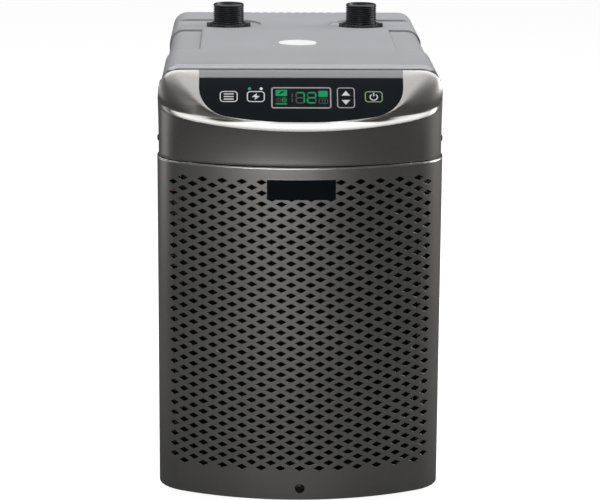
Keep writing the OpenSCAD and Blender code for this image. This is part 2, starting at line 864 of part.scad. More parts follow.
// Board behind the panel, with one push switch under each key
module control_board() color("darkgreen") at_home() on_face() {
  difference() {
    union() {
      translate([-board_w / 2, board_low_v - post_r, board_top - board_t])
        cube([board_w, board_high_v - board_low_v + 2 * post_r, board_t]);
      translate([-post_high_x - post_r, board_high_v - post_r, board_top - board_t])
        cube([2 * (post_high_x + post_r), 2 * post_r, board_t]);
    }
    for (p = board_posts()) translate([p[0], p[1], board_top - board_t - over])
      cylinder(h = board_t + 2 * over, r = post_r / 2);
  }
  for (p = [[menu_x, keys_v], [boost_x, keys_v], [power_x, keys_v], [arrows_x, arrows_mid_v + arrow_v],
    [arrows_x, arrows_mid_v - arrow_v]]) translate([p[0], p[1], board_top]) {
      translate([-switch_w / 2, -switch_w / 2, 0]) cube([switch_w, switch_w, switch_h]);
      cylinder(h = switch_h + plunger, r = plunger_r);
    }
}

module top_cover() color("#b3b5b8") at_home() difference() {
  union() {
    difference() {
      carry_back(cover_front, case_d - cover_front) case_section(0, cover_low, 0);
      carry_back(cover_front - over, case_d - cover_front - cover_wall + over)
        case_section(cover_wall, cover_low - over, 0);
    }
    for (x = [-port_gap / 2, port_gap / 2]) translate([x, port_y + dish_back, cover_under])
      cylinder(h = cover_wall, r = dish_r);
  }
  // The front of the cover dips towards the head's shoulder
  translate([-body_w, cover_front, cover_z - cover_dip]) rotate([atan(cover_dip / edge_r), 0, 0])
    translate([0, -case_d, 0]) cube([2 * body_w, case_d + edge_r / cos(atan(cover_dip / edge_r)), head_h]);
  for (x = [-port_gap / 2, port_gap / 2]) translate([x, port_y, 0]) {
    translate([0, dish_back, cover_z - dish_deep]) cylinder(h = head_h, r = dish_r);
    cylinder(h = 2 * cover_z, r = port_r + port_clear);
  }
  both_sides() translate([port_gap / 2, port_y - channel_front, cover_z - dish_deep])
    cube([body_w, channel_front + channel_back, head_h]);
  translate([0, disc_y, cover_z - disc_seat]) cylinder(h = head_h, r = disc_r + gap);
  both_sides() translate([grip_in_x - gap, grip_front - gap, cover_low - over])
    cube([body_w, grip_back - grip_front + 2 * gap, head_h]);
  for (i = [0:notch_count - 1]) translate([(i - (notch_count - 1) / 2) * slot_pitch - slot_w / 2,
    case_d - cover_wall - film, cover_z - notch_h]) cube([slot_w, 2 * cover_wall, notch_h + over]);
}

module cover_disc() color("white") at_home()
  translate([0, disc_y, cover_z - disc_seat]) cylinder(h = disc_t, r = disc_r);

// Hand grip: a sunk skin over the side edge with a finger pocket behind its lower lip
module grip() difference() {
  union() {
    intersection() {
      carry_back(grip_front, grip_back - grip_front) difference() {
        case_section(grip_sink, grip_low, 0);
        case_section(grip_sink + grip_wall, grip_low - over, 0);
      }
      translate([grip_in_x, 0, grip_low]) cube([body_w, case_d, cover_z]);
    }
    for (y = [grip_front, grip_back - grip_wall]) intersection() {
      carry_back(y, grip_wall) case_section(grip_sink, grip_low, 0);
      translate([case_w / 2 - grip_sink - edge_r, 0, grip_low]) cube([body_w, case_d, cover_z]);
    }
    at_pocket() translate([-grip_wall, -grip_wall, -grip_wall])
      cube([pocket_deep + grip_wall + film, pocket_l + 2 * grip_wall, pocket_h + pocket_rise + 2 * grip_wall]);
  }
  at_pocket() cube([pocket_deep + over, pocket_l, pocket_h]);
  at_pocket() cube([pocket_deep - pocket_lip, pocket_l, pocket_h + pocket_rise]);
}

// Inner lower front corner of the right finger pocket
module at_pocket() {
  translate([case_w / 2 - grip_sink - pocket_deep, pocket_front, pocket_low]) children();
}

module left_grip() color("#9fa1a4") at_home() mirror([1, 0, 0]) grip();
module right_grip() color("#9fa1a4") at_home() grip();

// Steel side: a flat sheet with a rear flange, cut for the grip, the louvres and its screws
module side_panel() difference() {
  height = cover_low - gap - pan_lift;
  union() {
    translate([inner_half, side_front, pan_lift]) cube([sheet, case_d - side_front, height]);
    translate([inner_half - flange_w, rear_face - 2 * sheet - gap / 2, pan_lift])
      cube([flange_w + film, sheet, height]);
    translate([inner_half - flange_w, grip_back + over, cover_low - gap - sheet])
      cube([flange_w + film, rear_face - 2 * sheet - grip_back - over, sheet]);
  }
  translate([inner_half - over, side_front - over, shell_h + cheek_low])
    cube([sheet + 2 * over, head_back + gap - side_front + over, cover_z]);
  translate([inner_half - over, grip_front - gap, grip_low - gap])
    cube([sheet + 2 * over, grip_back - grip_front + 2 * gap, cover_z]);
  for (i = [0:louvre_count - 1]) translate([inner_half - over, louvre_y + i * slot_pitch, louvre_low])
    cube([sheet + 2 * over, slot_w, louvre_h]);
  side_screw_holes();
  for (z = rear_screw_heights()) translate([inner_half - flange_w / 2, case_d, z]) rotate([90, 0, 0])
    cylinder(h = rear_inset + 3 * sheet, r = panel_pin_r + gap / 2);
}

// Holes through both sides for the screws that hold the side panels
module side_screw_holes() {
  for (p = side_screw_places()) translate([-body_w / 2, p[0], p[1]]) rotate([0, 90, 0])
    cylinder(h = body_w, r = panel_pin_r + gap / 2);
}

// Places of the screws in each side, and their heights in each rear edge
function side_screw_places() = [[side_screw_y, side_screw_z],
  [shell_back + flange_w, pan_lift + pan_h / 2], [case_d - foot_inset, pan_lift + pan_h / 2],
  [shelf_front + flange_w, shelf_z - shelf_drop / 2], [rear_face - 2 * flange_w, shelf_z - shelf_drop / 2]];
function rear_screw_heights() = [3 * flange_w, shell_h / 2, shell_h, cover_low - flange_w];

module left_side_panel() color("#3a3d40") at_home() mirror([1, 0, 0]) side_panel();
module right_side_panel() color("#3a3d40") at_home() side_panel();

module rear_panel() color("#3a3d40") at_home() difference() {
  translate([-inner_half + gap, rear_face - sheet, pan_lift])
    cube([2 * (inner_half - gap), sheet, cover_low - gap - pan_lift]);
  vent_bank(rear_slots, rear_slot_low, rear_slot_h);
  vent_bank(low_slots, low_slot_low, low_slot_h);
  translate([inlet_x - inlet_w / 2 - gap, rear_face - 2 * sheet, inlet_z - inlet_h / 2 - gap])
    cube([inlet_w + 2 * gap, 3 * sheet, inlet_h + 2 * gap]);
  for (s = [-1, 1]) translate([inlet_x + s * inlet_hole, rear_face + over, inlet_z]) rotate([90, 0, 0])
    cylinder(h = sheet + 2 * over, r = panel_pin_r + gap / 2);
  both_sides() for (z = rear_screw_heights()) translate([inner_half - flange_w / 2, rear_face + over, z])
    rotate([90, 0, 0]) cylinder(h = sheet + 2 * over, r = panel_pin_r + gap / 2);
}

module vent_bank(count, low, height) {
  for (i = [0:count - 1])
    translate([(i - (count - 1) / 2) * slot_pitch - slot_w / 2, rear_face - 2 * sheet, low])
      cube([slot_w, 3 * sheet, height]);
}

module rear_screws() color("silver") at_home() {
  both_sides() for (z = rear_screw_heights()) translate([inner_half - flange_w / 2, rear_face, z])
    rotate([-90, 0, 0]) screw(panel_screw_r, panel_screw, panel_pin_r, panel_screw_l);
  for (s = [-1, 1]) translate([inlet_x + s * inlet_hole, rear_face + inlet_flange, inlet_z])
    rotate([-90, 0, 0]) screw(panel_screw_r - gap, panel_screw, panel_pin_r, panel_screw_l + inlet_flange);
}

module side_screws() color("silver") at_home() both_sides()
  for (i = [1:4]) let (p = side_screw_places()[i]) translate([case_w / 2, p[0], p[1]]) rotate([0, 90, 0])
    screw(panel_screw_r, panel_screw, panel_pin_r, panel_screw_l - sheet);

// Water port: a threaded stub that screws up through the cover from the vessel's neck
module port() difference() {
  union() {
    translate([0, 0, stub_low]) cylinder(h = thread_low - stub_low + film, r = port_r - thread_relief);
    translate([0, 0, thread_low]) cylinder(h = cover_z + port_rise - chamfer - thread_low, r = port_r);
    translate([0, 0, cover_z + port_rise - chamfer])
      cylinder(h = chamfer, r1 = port_r, r2 = port_r - chamfer / 2);
    translate([0, 0, flange_top - port_flange]) cylinder(h = port_flange, r = flange_r);
  }
  translate([0, 0, stub_low - over]) cylinder(h = 2 * cover_z, r = port_bore / 2);
}

module inlet_port() color("#16181a") at_home() translate([-port_gap / 2, port_y, 0]) port();
module outlet_port() color("#16181a") at_home() translate([port_gap / 2, port_y, 0]) port();

module port_lock_rings() color("#1b1d1f") at_home()
  for (x = [-port_gap / 2, port_gap / 2]) translate([x, port_y, cover_z - dish_deep]) difference() {
    union() {
      cylinder(h = ring_h, r = ring_r);
      for (i = [0:ring_lugs - 1]) rotate([0, 0, i * 360 / ring_lugs]) translate([0, -ring_lug_w / 2, 0])
        cube([ring_lug_r, ring_lug_w, ring_h]);
    }
    translate([0, 0, -over]) cylinder(h = ring_h + 2 * over, r = port_r + neck_clear);
  }

module port_gaskets() color("black") at_home()
  for (x = [-port_gap / 2, port_gap / 2]) translate([x, port_y, flange_top]) difference() {
    cylinder(h = gasket_t, r = flange_r);
    translate([0, 0, -over]) cylinder(h = gasket_t + 2 * over, r = port_r + neck_clear);
  }

// Block centred across and up, standing forward from one y to another
module upright_block(w, h, y0, y1) {
  translate([-w / 2, y0, -h / 2]) cube([w, y1 - y0, h]);
}

module mains_inlet() color("#141414") at_home() translate([inlet_x, rear_face, inlet_z]) difference() {
  union() {
    upright_block(inlet_flange_w, inlet_flange_h, 0, inlet_flange);
    upright_block(inlet_w, inlet_h, -inlet_deep, film);
  }
  upright_block(socket_w, socket_h, inlet_flange - socket_deep, inlet_flange + over);
  for (s = [-1, 1]) translate([s * inlet_hole, inlet_flange + over, 0]) rotate([90, 0, 0])
    cylinder(h = inlet_flange + 2 * over, r = panel_pin_r + gap / 2);
  inlet_pin_places() upright_block(pin_w + 2 * gap / 3, pin_h + 2 * gap / 3, -inlet_deep - over, -over);
}

module inlet_pin_places() {
  translate([-pin_side, 0, -pin_up]) children();
  translate([pin_side, 0, -pin_up]) children();
  translate([0, 0, pin_up]) children();
}

module inlet_pins() color("gold") at_home() translate([inlet_x, rear_face, inlet_z]) inlet_pin_places()
  upright_block(pin_w, pin_h, -inlet_deep - pin_root, inlet_flange - socket_deep + pin_l);

// Where the condenser's tube passes through its fins and brackets
module tube_holes(clear) {
  for (i = [0:tube_passes - 1]) translate([tube_y, tube_first + i * tube_pitch]) circle(r = tube_r + clear);
}

// Stands a side-view outline up and carries it sideways over a thickness
module carry_across(x, t) {
  translate([x, 0, 0]) rotate([90, 0, 90]) linear_extrude(t) children();
}

module condenser_fins() color("silver") at_home()
  for (i = [0:fin_count - 1]) carry_across(i * (2 * fin_half - fin_t) / (fin_count - 1) - fin_half, fin_t)
    difference() {
      translate([fin_front, fin_low]) square([fin_back - fin_front, fin_top - fin_low]);
      tube_holes(tube_clear);
    }

// Serpentine: straight passes joined by half-round bends at alternate ends
module condenser_tube() color("#b87333") at_home() {
  reach = bracket_x + sheet + gap;
  for (i = [0:tube_passes - 1]) translate([-reach, tube_y, tube_first + i * tube_pitch]) rotate([0, 90, 0])
    cylinder(h = 2 * reach, r = tube_r);
  for (i = [0:tube_passes - 2]) let (s = i % 2 == 0 ? 1 : -1)
    translate([s * reach, tube_y, tube_first + (i + 1 / 2) * tube_pitch]) rotate([90, 0, 0])
      rotate([0, 0, s > 0 ? -90 : 90]) rotate_extrude(angle = 180) translate([tube_pitch / 2, 0])
        circle(r = tube_r);
}

module condenser_brackets() color("#8a8c8e") at_home() both_sides()
  carry_across(bracket_x, sheet) difference() {
    translate([bracket_front, floor_z]) square([shroud_y - bracket_front - gap, fin_top + gap - floor_z]);
    tube_holes(gap);
  }

module fan_shroud() color("#55585b") at_home() difference() {
  half = pan_half - sheet - 2 * gap;
  union() {
    carry_back(shroud_y, sheet) translate([-half, floor_z + gap])
      square([2 * half, shroud_top - floor_z - gap]);
    translate([0, shroud_y + shroud_ring, fan_z]) rotate([90, 0, 0])
      cylinder(h = shroud_ring, r = fan_d / 2 + fan_clear + shroud_ring_t);
    translate([-half, shroud_y, shroud_top - sheet]) cube([2 * half, shroud_flange, sheet]);
  }
  translate([0, shroud_y + shroud_ring + over, fan_z]) rotate([90, 0, 0])
    cylinder(h = shroud_ring + 2 * over, r = fan_d / 2 + fan_clear);
  for (z = [tube_first, hot_z])
    translate([-pan_half, shroud_y - over, z - gate_h / 2]) cube([gate_w, sheet + 2 * over, gate_h]);
}

// One pitched blade, trimmed to the fan's circle
module blade() intersection() {
  rotate([blade_tilt, 0, 0]) translate([hub_r / 2, -blade_t / 2, -blade_chord / 2])
    cube([fan_d / 2, blade_t, blade_chord]);
  rotate([90, 0, 0]) cylinder(h = fan_l, r = fan_d / 2, center = true);
}

module fan_rotor() color("black") at_home() translate([0, fan_y + fan_l / 2, fan_z]) difference() {
  union() {
    rotate([90, 0, 0]) cylinder(h = fan_l, r = hub_r, center = true);
    for (i = [0:fan_blades - 1]) rotate([0, i * 360 / fan_blades, 0]) blade();
  }
  rotate([90, 0, 0]) cylinder(h = 2 * fan_l, r = shaft_r + shaft_clear, center = true);
}

module fan_shaft() color("silver") at_home() translate([0, shaft_back, fan_z]) rotate([90, 0, 0])
  cylinder(h = shaft_back - shaft_front, r = shaft_r);

module fan_motor() color("#26282a") at_home() translate([0, 0, fan_z]) difference() {
  union() {
    translate([0, motor_front + motor_l, 0]) rotate([90, 0, 0]) cylinder(h = motor_l, r = motor_r);
    translate([0, motor_front + film, 0]) rotate([90, 0, 0]) cylinder(h = boss_l, r = boss_r);
  }
  translate([0, shaft_back + over, 0]) rotate([90, 0, 0])
    cylinder(h = shaft_back - motor_front + boss_l + 2 * over, r = shaft_r + shaft_clear);
}

// Ring round the motor with four arms, whose legs reach forward to the shroud
module motor_bracket() color("#8a8c8e") at_home() translate([0, bracket_y, fan_z]) difference() {
  union() {
    translate([0, bracket_l, 0]) rotate([90, 0, 0]) cylinder(h = bracket_l, r = motor_r + bracket_ring);
    for (a = [45, 135, 225, 315]) rotate([0, a, 0]) {
      translate([motor_r + bracket_ring / 2, arm_step, -arm_w / 2])
        cube([arm_out - motor_r - bracket_ring / 2, bracket_l - 2 * arm_step, arm_w]);
      translate([arm_in, leg_front - bracket_y, -arm_w / 2])
        cube([arm_out - arm_in, bracket_y - leg_front + 2 * arm_step, arm_w]);
    }
  }
  translate([0, bracket_l + over, 0]) rotate([90, 0, 0]) cylinder(h = bracket_l + 2 * over, r = motor_r + gap / 3);
}

// Half profile of the compressor's can: domed ends and a welded seam round its middle
function can_dome(z, up, h) = [for (i = [0:dome_steps]) let (a = 90 * i / dome_steps)
  [comp_d / 2 * cos(a), z + up * h * sin(a)]];
module can_profile() {
  dome = comp_h / 4;
  mid = comp_h / 2;
  low = can_dome(dome, -1, dome);
  high = can_dome(comp_h - dome, 1, dome);
  polygon(concat([for (i = [dome_steps:-1:0]) low[i]],
    [[comp_d / 2, mid - comp_seam / 2], [comp_d / 2 + comp_wall_step, mid - comp_seam / 2],
      [comp_d / 2 + comp_wall_step, mid + comp_seam / 2], [comp_d / 2, mid + comp_seam / 2]], high));
}

module compressor() color("#111315") at_home() translate([comp_x, comp_y, comp_lift]) difference() {
  union() {
    translate([0, 0, -comp_plate_t]) rotate_extrude() can_profile();
    for (y = [-stub_out, stub_out]) translate([0, y, comp_h / 2]) cylinder(h = stub_up, r = stub_r);
    difference() {
      translate([-comp_plate_w / 2, -comp_plate_l / 2, -comp_plate_t])
        cube([comp_plate_w, comp_plate_l, comp_plate_t]);
      for (x = [-stud_x, stud_x]) for (y = [-stud_y, stud_y]) translate([x, y, -comp_plate_t - over])
        cylinder(h = comp_plate_t + 2 * over, r = grommet_neck_r + gap);
    }
  }
  for (x = [-stud_x, stud_x]) for (y = [-stud_y, stud_y]) translate([x, y, 0])
    cylinder(h = grommet_up + gap + stud_nut + over, r = grommet_r + gap);
}

module compressor_grommets() color("black") at_home()
  for (x = [-stud_x, stud_x]) for (y = [-stud_y, stud_y]) translate([comp_x + x, comp_y + y, 0]) difference() {
    union() {
      translate([0, 0, floor_z]) cylinder(h = comp_lift - comp_plate_t - floor_z - gap / 3, r = grommet_r);
      translate([0, 0, floor_z]) cylinder(h = comp_lift + grommet_up - floor_z, r = grommet_neck_r);
      translate([0, 0, comp_lift + gap / 3]) cylinder(h = grommet_up - gap / 3, r = grommet_r);
    }
    translate([0, 0, floor_z - over]) cylinder(h = comp_lift + grommet_up + over, r = stud_r + gap);
  }

module compressor_studs() color("silver") at_home()
  for (x = [-stud_x, stud_x]) for (y = [-stud_y, stud_y]) translate([comp_x + x, comp_y + y, floor_z]) {
    cylinder(h = stud_h, r = stud_r);
    translate([0, 0, comp_lift + grommet_up - floor_z + gap / 3])
      cylinder(h = stud_nut, r = stud_nut_r, $fn = 6);
  }

module terminal_cover() color("#1a1a1a") at_home() difference() {
  translate([comp_x, comp_y - term_w / 2, term_z - term_h / 2])
    cube([comp_d / 2 + term_d, term_w, term_h]);
  translate([comp_x, comp_y, 0]) cylinder(h = cover_z, r = comp_d / 2 + comp_wall_step + gap);
}

module along_vessel(x0, x1) {
  translate([x0, port_y, vessel_z]) rotate([0, 90, 0]) linear_extrude(x1 - x0) children();
}

module water_vessel() color("#d9dcdf") at_home() difference() {
  union() {
    along_vessel(-vessel_half, vessel_half) circle(r = vessel_d / 2);
    for (x = [-port_gap / 2, port_gap / 2]) translate([x, port_y, vessel_z])
      cylinder(h = neck_top - vessel_z, r = neck_r);
  }
  along_vessel(-vessel_half - over, vessel_half + over) circle(r = vessel_d / 2 - vessel_wall);
  for (x = [-port_gap / 2, port_gap / 2]) translate([x, port_y, vessel_z])
    cylinder(h = neck_top - vessel_z + over, r = port_r + neck_clear);
  translate([0, port_y, vessel_z]) cylinder(h = vessel_d, r = sensor_r + gap / 3);
}

// End caps; the left one passes the two ends of the evaporator coil
module vessel_caps() color("#c8ccd0") at_home() {
  along_vessel(vessel_half + gap / 3, vessel_half + cap_t) circle(r = cap_r);
  difference() {
    along_vessel(-vessel_half - cap_t, -vessel_half - gap / 3) circle(r = cap_r);
    for (y = [0, coil_r]) translate([-vessel_half - cap_t - over, port_y + y, vessel_z]) rotate([0, 90, 0])
      cylinder(h = cap_t + 2 * over, r = coil_tube_r + gap / 3);
  }
}

// Foam jacket, open round the necks and the sensor
module vessel_jacket() color("#222426") at_home() difference() {
  along_vessel(-jacket_half, jacket_half) difference() {
    circle(r = vessel_d / 2 + jacket_t);
    circle(r = vessel_d / 2 + gap);
  }
  for (x = [-port_gap / 2, port_gap / 2]) translate([x, port_y, vessel_z])
    cylinder(h = vessel_d, r = neck_r + gap);
  translate([0, port_y, vessel_z]) cylinder(h = vessel_d, r = sensor_head_r + gap);
}

// Helix along the vessel, with one end straight out and the other back up its middle
function coil_path() =
  let (half = coil_turns * coil_pitch / 2, n = coil_turns * coil_steps)
  concat([[coil_end_x, coil_r, 0], [-vessel_half + cap_t, coil_r, 0]],
    [for (i = [0:n]) let (a = 360 * i / coil_steps)
      [-half + 2 * half * i / n, coil_r * cos(a), coil_r * sin(a)]],
    [[half + coil_pitch, coil_r / 2, 0], [half + cap_t, 0, 0], [half - coil_pitch, 0, 0],
      [coil_end_x, 0, 0]]);
module evaporator_coil() color("#a9adb2") at_home() translate([0, port_y, vessel_z])
  swept_tube(coil_path(), coil_tube_r, line_sides);

// Folded shelf, with a notch at the left where the lines come up
module vessel_shelf() color("#8a8c8e") at_home() difference() {
  length = rear_face - 2 * sheet - 2 * gap - shelf_front;
  union() {
    translate([-pan_half, shelf_front, shelf_z - sheet]) cube([2 * pan_half, length, sheet]);
    both_sides() translate([pan_half - sheet, shelf_front, shelf_z - shelf_drop])
      cube([sheet, length, shelf_drop]);
  }
  translate([sheet + gap - pan_half, shelf_front - over, shelf_z - 2 * sheet])
    cube([shelf_notch_w, shelf_notch_l + over, 3 * sheet]);
  side_screw_holes();
}

module vessel_saddles() color("#2b2d2f") at_home() both_sides() difference() {
  translate([saddle_x - saddle_w / 2, port_y - saddle_half, shelf_z + gap / 3])
    cube([saddle_w, 2 * saddle_half, vessel_z - shelf_z - vessel_d / 4]);
  along_vessel(-body_w, body_w) circle(r = vessel_d / 2 + jacket_t + gap / 3);
}

module water_sensor() color("silver") at_home() translate([0, port_y, vessel_z + vessel_d / 2 - sensor_drop]) {
  cylinder(h = sensor_drop + sensor_head, r = sensor_r);
  translate([0, 0, sensor_drop + gap]) cylinder(h = sensor_head + jacket_t, r = sensor_head_r, $fn = 6);
}

module filter_drier() color("#b87333") at_home() translate([drier_x, drier_y, drier_z - drier_l / 2])
  rotate_extrude() polygon([[0, 0], [line_r + gap, 0], [drier_r, drier_cone], [drier_r, drier_l - drier_cone],
    [line_r + gap, drier_l], [0, drier_l]]);

module discharge_line() color("#b87333") at_home() swept_tube(rounded_path(discharge_path), line_r, line_sides);
module liquid_line() color("#b87333") at_home() {
  swept_tube(rounded_path(liquid_path), line_r, line_sides);
  swept_tube(rounded_path(capillary_path), thin_line_r, line_sides);
}
module suction_line() color("#b87333") at_home() swept_tube(rounded_path(suction_path), line_r, line_sides);

// Supply board on four posts, with its transformer, relays and terminal block
module power_board() color("seagreen") at_home() translate([power_x0, power_y0, floor_z]) {
  translate([0, 0, power_lift]) cube([power_w, power_l, power_t]);
  for (x = [power_post_in, power_w - power_post_in]) for (y = [power_post_in, power_l - power_post_in])
    translate([x, y, 0]) cylinder(h = power_lift + film, r = power_post_r);
  translate([power_w / 8, power_l / 2, power_lift + power_t - film])
    cube([power_w / 3, power_l / 3, power_w / 3]);
  for (i = [1, 3]) translate([power_w / 2 + power_post_in, i * power_l / 7, power_lift + power_t - film])
    cube([power_w / 3, power_l / 5, power_w / 6]);
  translate([power_w / 4, power_l * terminal_lead_share, power_lift + power_t - film])
    cube([power_w / 2, power_l * terminal_l_share, power_l / 8]);
}

module control_lead() color("#1a1a1a") at_home() swept_tube(rounded_path(lead_path), lead_r, line_sides);

base_pan();
rubber_feet();
foot_screws();
front_grille();
grille_screw();
name_plate();
filter_frame();
filter_pad();
control_head();
head_screws();
control_panel();
key_menu();
key_boost();
key_up();
key_down();
key_power();
status_lights();
display_window();
display_module();
control_board();
top_cover();
cover_disc();
left_grip();
right_grip();
left_side_panel();
right_side_panel();
rear_panel();
rear_screws();
side_screws();
inlet_port();
outlet_port();
port_lock_rings();
port_gaskets();
mains_inlet();
inlet_pins();
condenser_fins();
condenser_tube();
condenser_brackets();
fan_shroud();
fan_rotor();
fan_shaft();
fan_motor();
motor_bracket();
compressor();
compressor_grommets();
compressor_studs();
terminal_cover();
water_vessel();
vessel_caps();
vessel_jacket();
evaporator_coil();
vessel_shelf();
vessel_saddles();
filter_drier();
discharge_line();
liquid_line();
suction_line();
power_board();
control_lead();
water_sensor();
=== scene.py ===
"""Looks of the water chiller: finer pieces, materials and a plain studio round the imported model."""
import json
import math

import bpy
import numpy as np
from mathutils import Matrix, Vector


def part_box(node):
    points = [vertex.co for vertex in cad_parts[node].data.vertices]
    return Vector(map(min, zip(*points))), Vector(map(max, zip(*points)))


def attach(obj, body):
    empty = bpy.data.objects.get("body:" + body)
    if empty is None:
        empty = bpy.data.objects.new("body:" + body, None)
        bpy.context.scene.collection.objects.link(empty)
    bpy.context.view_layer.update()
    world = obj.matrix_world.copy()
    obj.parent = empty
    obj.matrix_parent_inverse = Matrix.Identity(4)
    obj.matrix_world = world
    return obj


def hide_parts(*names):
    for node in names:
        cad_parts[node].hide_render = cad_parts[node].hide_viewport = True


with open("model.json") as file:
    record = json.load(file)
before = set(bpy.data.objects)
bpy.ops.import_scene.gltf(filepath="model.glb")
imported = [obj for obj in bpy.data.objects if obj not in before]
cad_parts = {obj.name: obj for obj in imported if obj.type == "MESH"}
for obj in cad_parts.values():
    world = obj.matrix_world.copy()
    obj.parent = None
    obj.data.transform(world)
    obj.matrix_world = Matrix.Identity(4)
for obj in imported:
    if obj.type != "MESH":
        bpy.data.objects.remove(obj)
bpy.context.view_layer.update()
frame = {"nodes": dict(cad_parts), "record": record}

bl_info = {
    "name": "Water Chiller Looks",
    "version": (1, 0, 0),
    "blender": (4, 5, 0),
    "location": "3D View > Sidebar > Chiller",
    "description": "Builds the fine pieces, finishes and stage of a bow-fronted water chiller",
    "category": "Object",
}

# Where the source's own zero, the grille's front and bottom edge, lies in the frame, in mm
GRILLE_LOW = np.array(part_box("front_grille")[0]) * 1000
HOME = np.array([0.0, GRILLE_LOW[1], GRILLE_LOW[2]])

# Sizes that these pieces share with the source, in mm from the grille's front and bottom edge
SEAM_Z, COVER_Z, COVER_FRONT = 333.0, 423.0, 49.7
SEAT_Z = COVER_Z - 2
FACE_Y, FACE_Z, FACE_ANGLE = 6.0, 371.767, math.radians(48)
HEAD_BACK = 91.84
RIM_LOW_Z, RIM_SLOPE, RIM_BAND = 368.27, 0.27, 4.2
PORT_X, PORT_Y, PORT_CREST, PORT_BORE = 72.0, 350.0, 16.625, 12.8
# Bowed outlines in plan, and the panel's in the slope: radius of the front's arc, radius of the
# corners, half the width, and how far back or up the foremost point lies
BOW = dict(r=247.0, corner=43.5, half=140.0, front=0.0)
RIM = dict(r=262.0, corner=60.0, half=139.5, front=-3.0)
SKIRT = dict(r=245.5, corner=42.0, half=138.5, front=1.5)
PANEL = dict(r=385.35, corner=34.35, half=98.35, front=4.85)
# Up the slope, where the panel ends and where the cover begins, and the depth of the panel's lining
PANEL_TOP, COVER_LINE, LINING = 55.85, (COVER_FRONT - FACE_Y) / math.cos(FACE_ANGLE), 2.2
# Low and high side of the ink above the slope's plane, on the panel and on the keys' tops
PANEL_INK, KEY_INK = (-0.02, 0.06), (0.2, 0.26)


# Shapes

class Shells:
    """Closed shells of one piece, gathered as point arrays and rows of corner numbers."""

    def __init__(self):
        self.points, self.faces, self.count = [], [], 0

    def add(self, points, quads, caps=()):
        """Adds one shell. Its faces are turned round if the volume they enclose is negative,
        which is the sum over each face's fan of a . (b x c) / 6."""
        points = np.asarray(points, float).reshape(-1, 3)
        p = points - points.mean(axis=0)
        q = np.asarray(quads, int)
        volume = 0.0
        for i, j, k in ((0, 1, 2), (0, 2, 3)):
            volume += np.einsum("ij,ij->", p[q[:, i]], np.cross(p[q[:, j]], p[q[:, k]]))
        for cap in caps:
            c = p[np.asarray(cap)]
            volume += np.einsum("j,ij->", c[0], np.cross(c[1:-1], c[2:]))
        turn = -1 if volume < 0 else 1
        self.faces += (q[:, ::turn] + self.count).tolist()
        self.faces += [[int(i) + self.count for i in cap][::turn] for cap in caps]
        self.points.append(points)
        self.count += len(points)

    def loft(self, rows, ring=False):
        """Skin over rows[u, v], closed round v. Round u it is either closed too, as a ring, or
        ended by one flat cap at each end."""
        rows = np.asarray(rows, float)
        n, m = rows.shape[:2]
        u = np.arange(n if ring else n - 1)
        a, b = u[:, None] * m, ((u + 1) % n)[:, None] * m
        v, w = np.arange(m)[None], ((np.arange(m) + 1) % m)[None]
        quads = np.stack([a + v, b + v, b + w, a + w], axis=-1).reshape(-1, 4)
        caps = () if ring else (np.arange(m)[::-1], (n - 1) * m + np.arange(m))
        self.add(rows, quads, caps)

    def turned(self, profile, centre, steps, wave=None, place=None):
        """Closed profile of (radius, height) turned round an upright axis. wave(angle, profile)
        may return other radii and heights for each angle, and place may lay the result elsewhere."""
        angle = np.arange(steps) * 2 * np.pi / steps
        shape = np.broadcast_to(np.asarray(profile, float), (steps, len(profile), 2))
        if wave:
            shape = wave(angle, shape.copy())
        radius, height = shape[..., 0], shape[..., 1]
        rows = np.stack([radius * np.cos(angle)[:, None], radius * np.sin(angle)[:, None], height], axis=-1)
        rows = rows + np.asarray(centre, float)
        self.loft(place(rows) if place else rows, ring=True)

    def slab(self, outline, low, high):
        """Flat plate over an outline of (across, up the slope), between two heights above it."""
        outline = np.asarray(outline, float)
        self.loft(on_face(np.stack([with_height(outline, h) for h in (low, high)])))

    def ribbon(self, path, width, low, high, ring=True):
        """Band on the slope along a path, with its edges half a width to each side of it."""
        path = np.asarray(path, float)
        along = np.roll(path, -1, axis=0) - np.roll(path, 1, axis=0) if ring else np.gradient(path, axis=0)
        along /= np.linalg.norm(along, axis=1, keepdims=True)
        side = np.stack([-along[:, 1], along[:, 0]], axis=1) * width / 2
        corners = [(path + side, low), (path + side, high), (path - side, high), (path - side, low)]
        self.loft(on_face(np.stack([with_height(p, h) for p, h in corners], axis=1)), ring=ring)

    def build(self, name, body, slot, finish, replaces=(), sharp=32):
        """Makes the piece's object in a finish, shades it smooth up to an angle, hangs it on its body and
        hides the nodes that it replaces."""
        mesh = bpy.data.meshes.new(name)
        points = (np.concatenate(self.points) + HOME) / 1000
        mesh.from_pydata(points.tolist(), [], self.faces)
        mesh.polygons.foreach_set("use_smooth", np.ones(len(mesh.polygons), bool))
        mesh.update()
        mesh.set_sharp_from_angle(angle=math.radians(sharp))
        piece = bpy.data.objects.new(name, mesh)
        bpy.context.scene.collection.objects.link(piece)
        mesh.materials.append(FINISHES[finish])
        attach(piece, body)
        if replaces:
            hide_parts(*replaces)


def with_height(points, height):
    """Points of (x, y) with one height, or a height each, as their z."""
    return np.column_stack([points, np.full(len(points), height)])


def on_face(p):
    """From (across, up the slope, out of it) to the grille's frame: the slope is tilted about X."""
    u, v, w = p[..., 0], p[..., 1], p[..., 2]
    c, s = math.cos(FACE_ANGLE), math.sin(FACE_ANGLE)
    return np.stack([u, FACE_Y + v * c - w * s, FACE_Z + v * s + w * c], axis=-1)


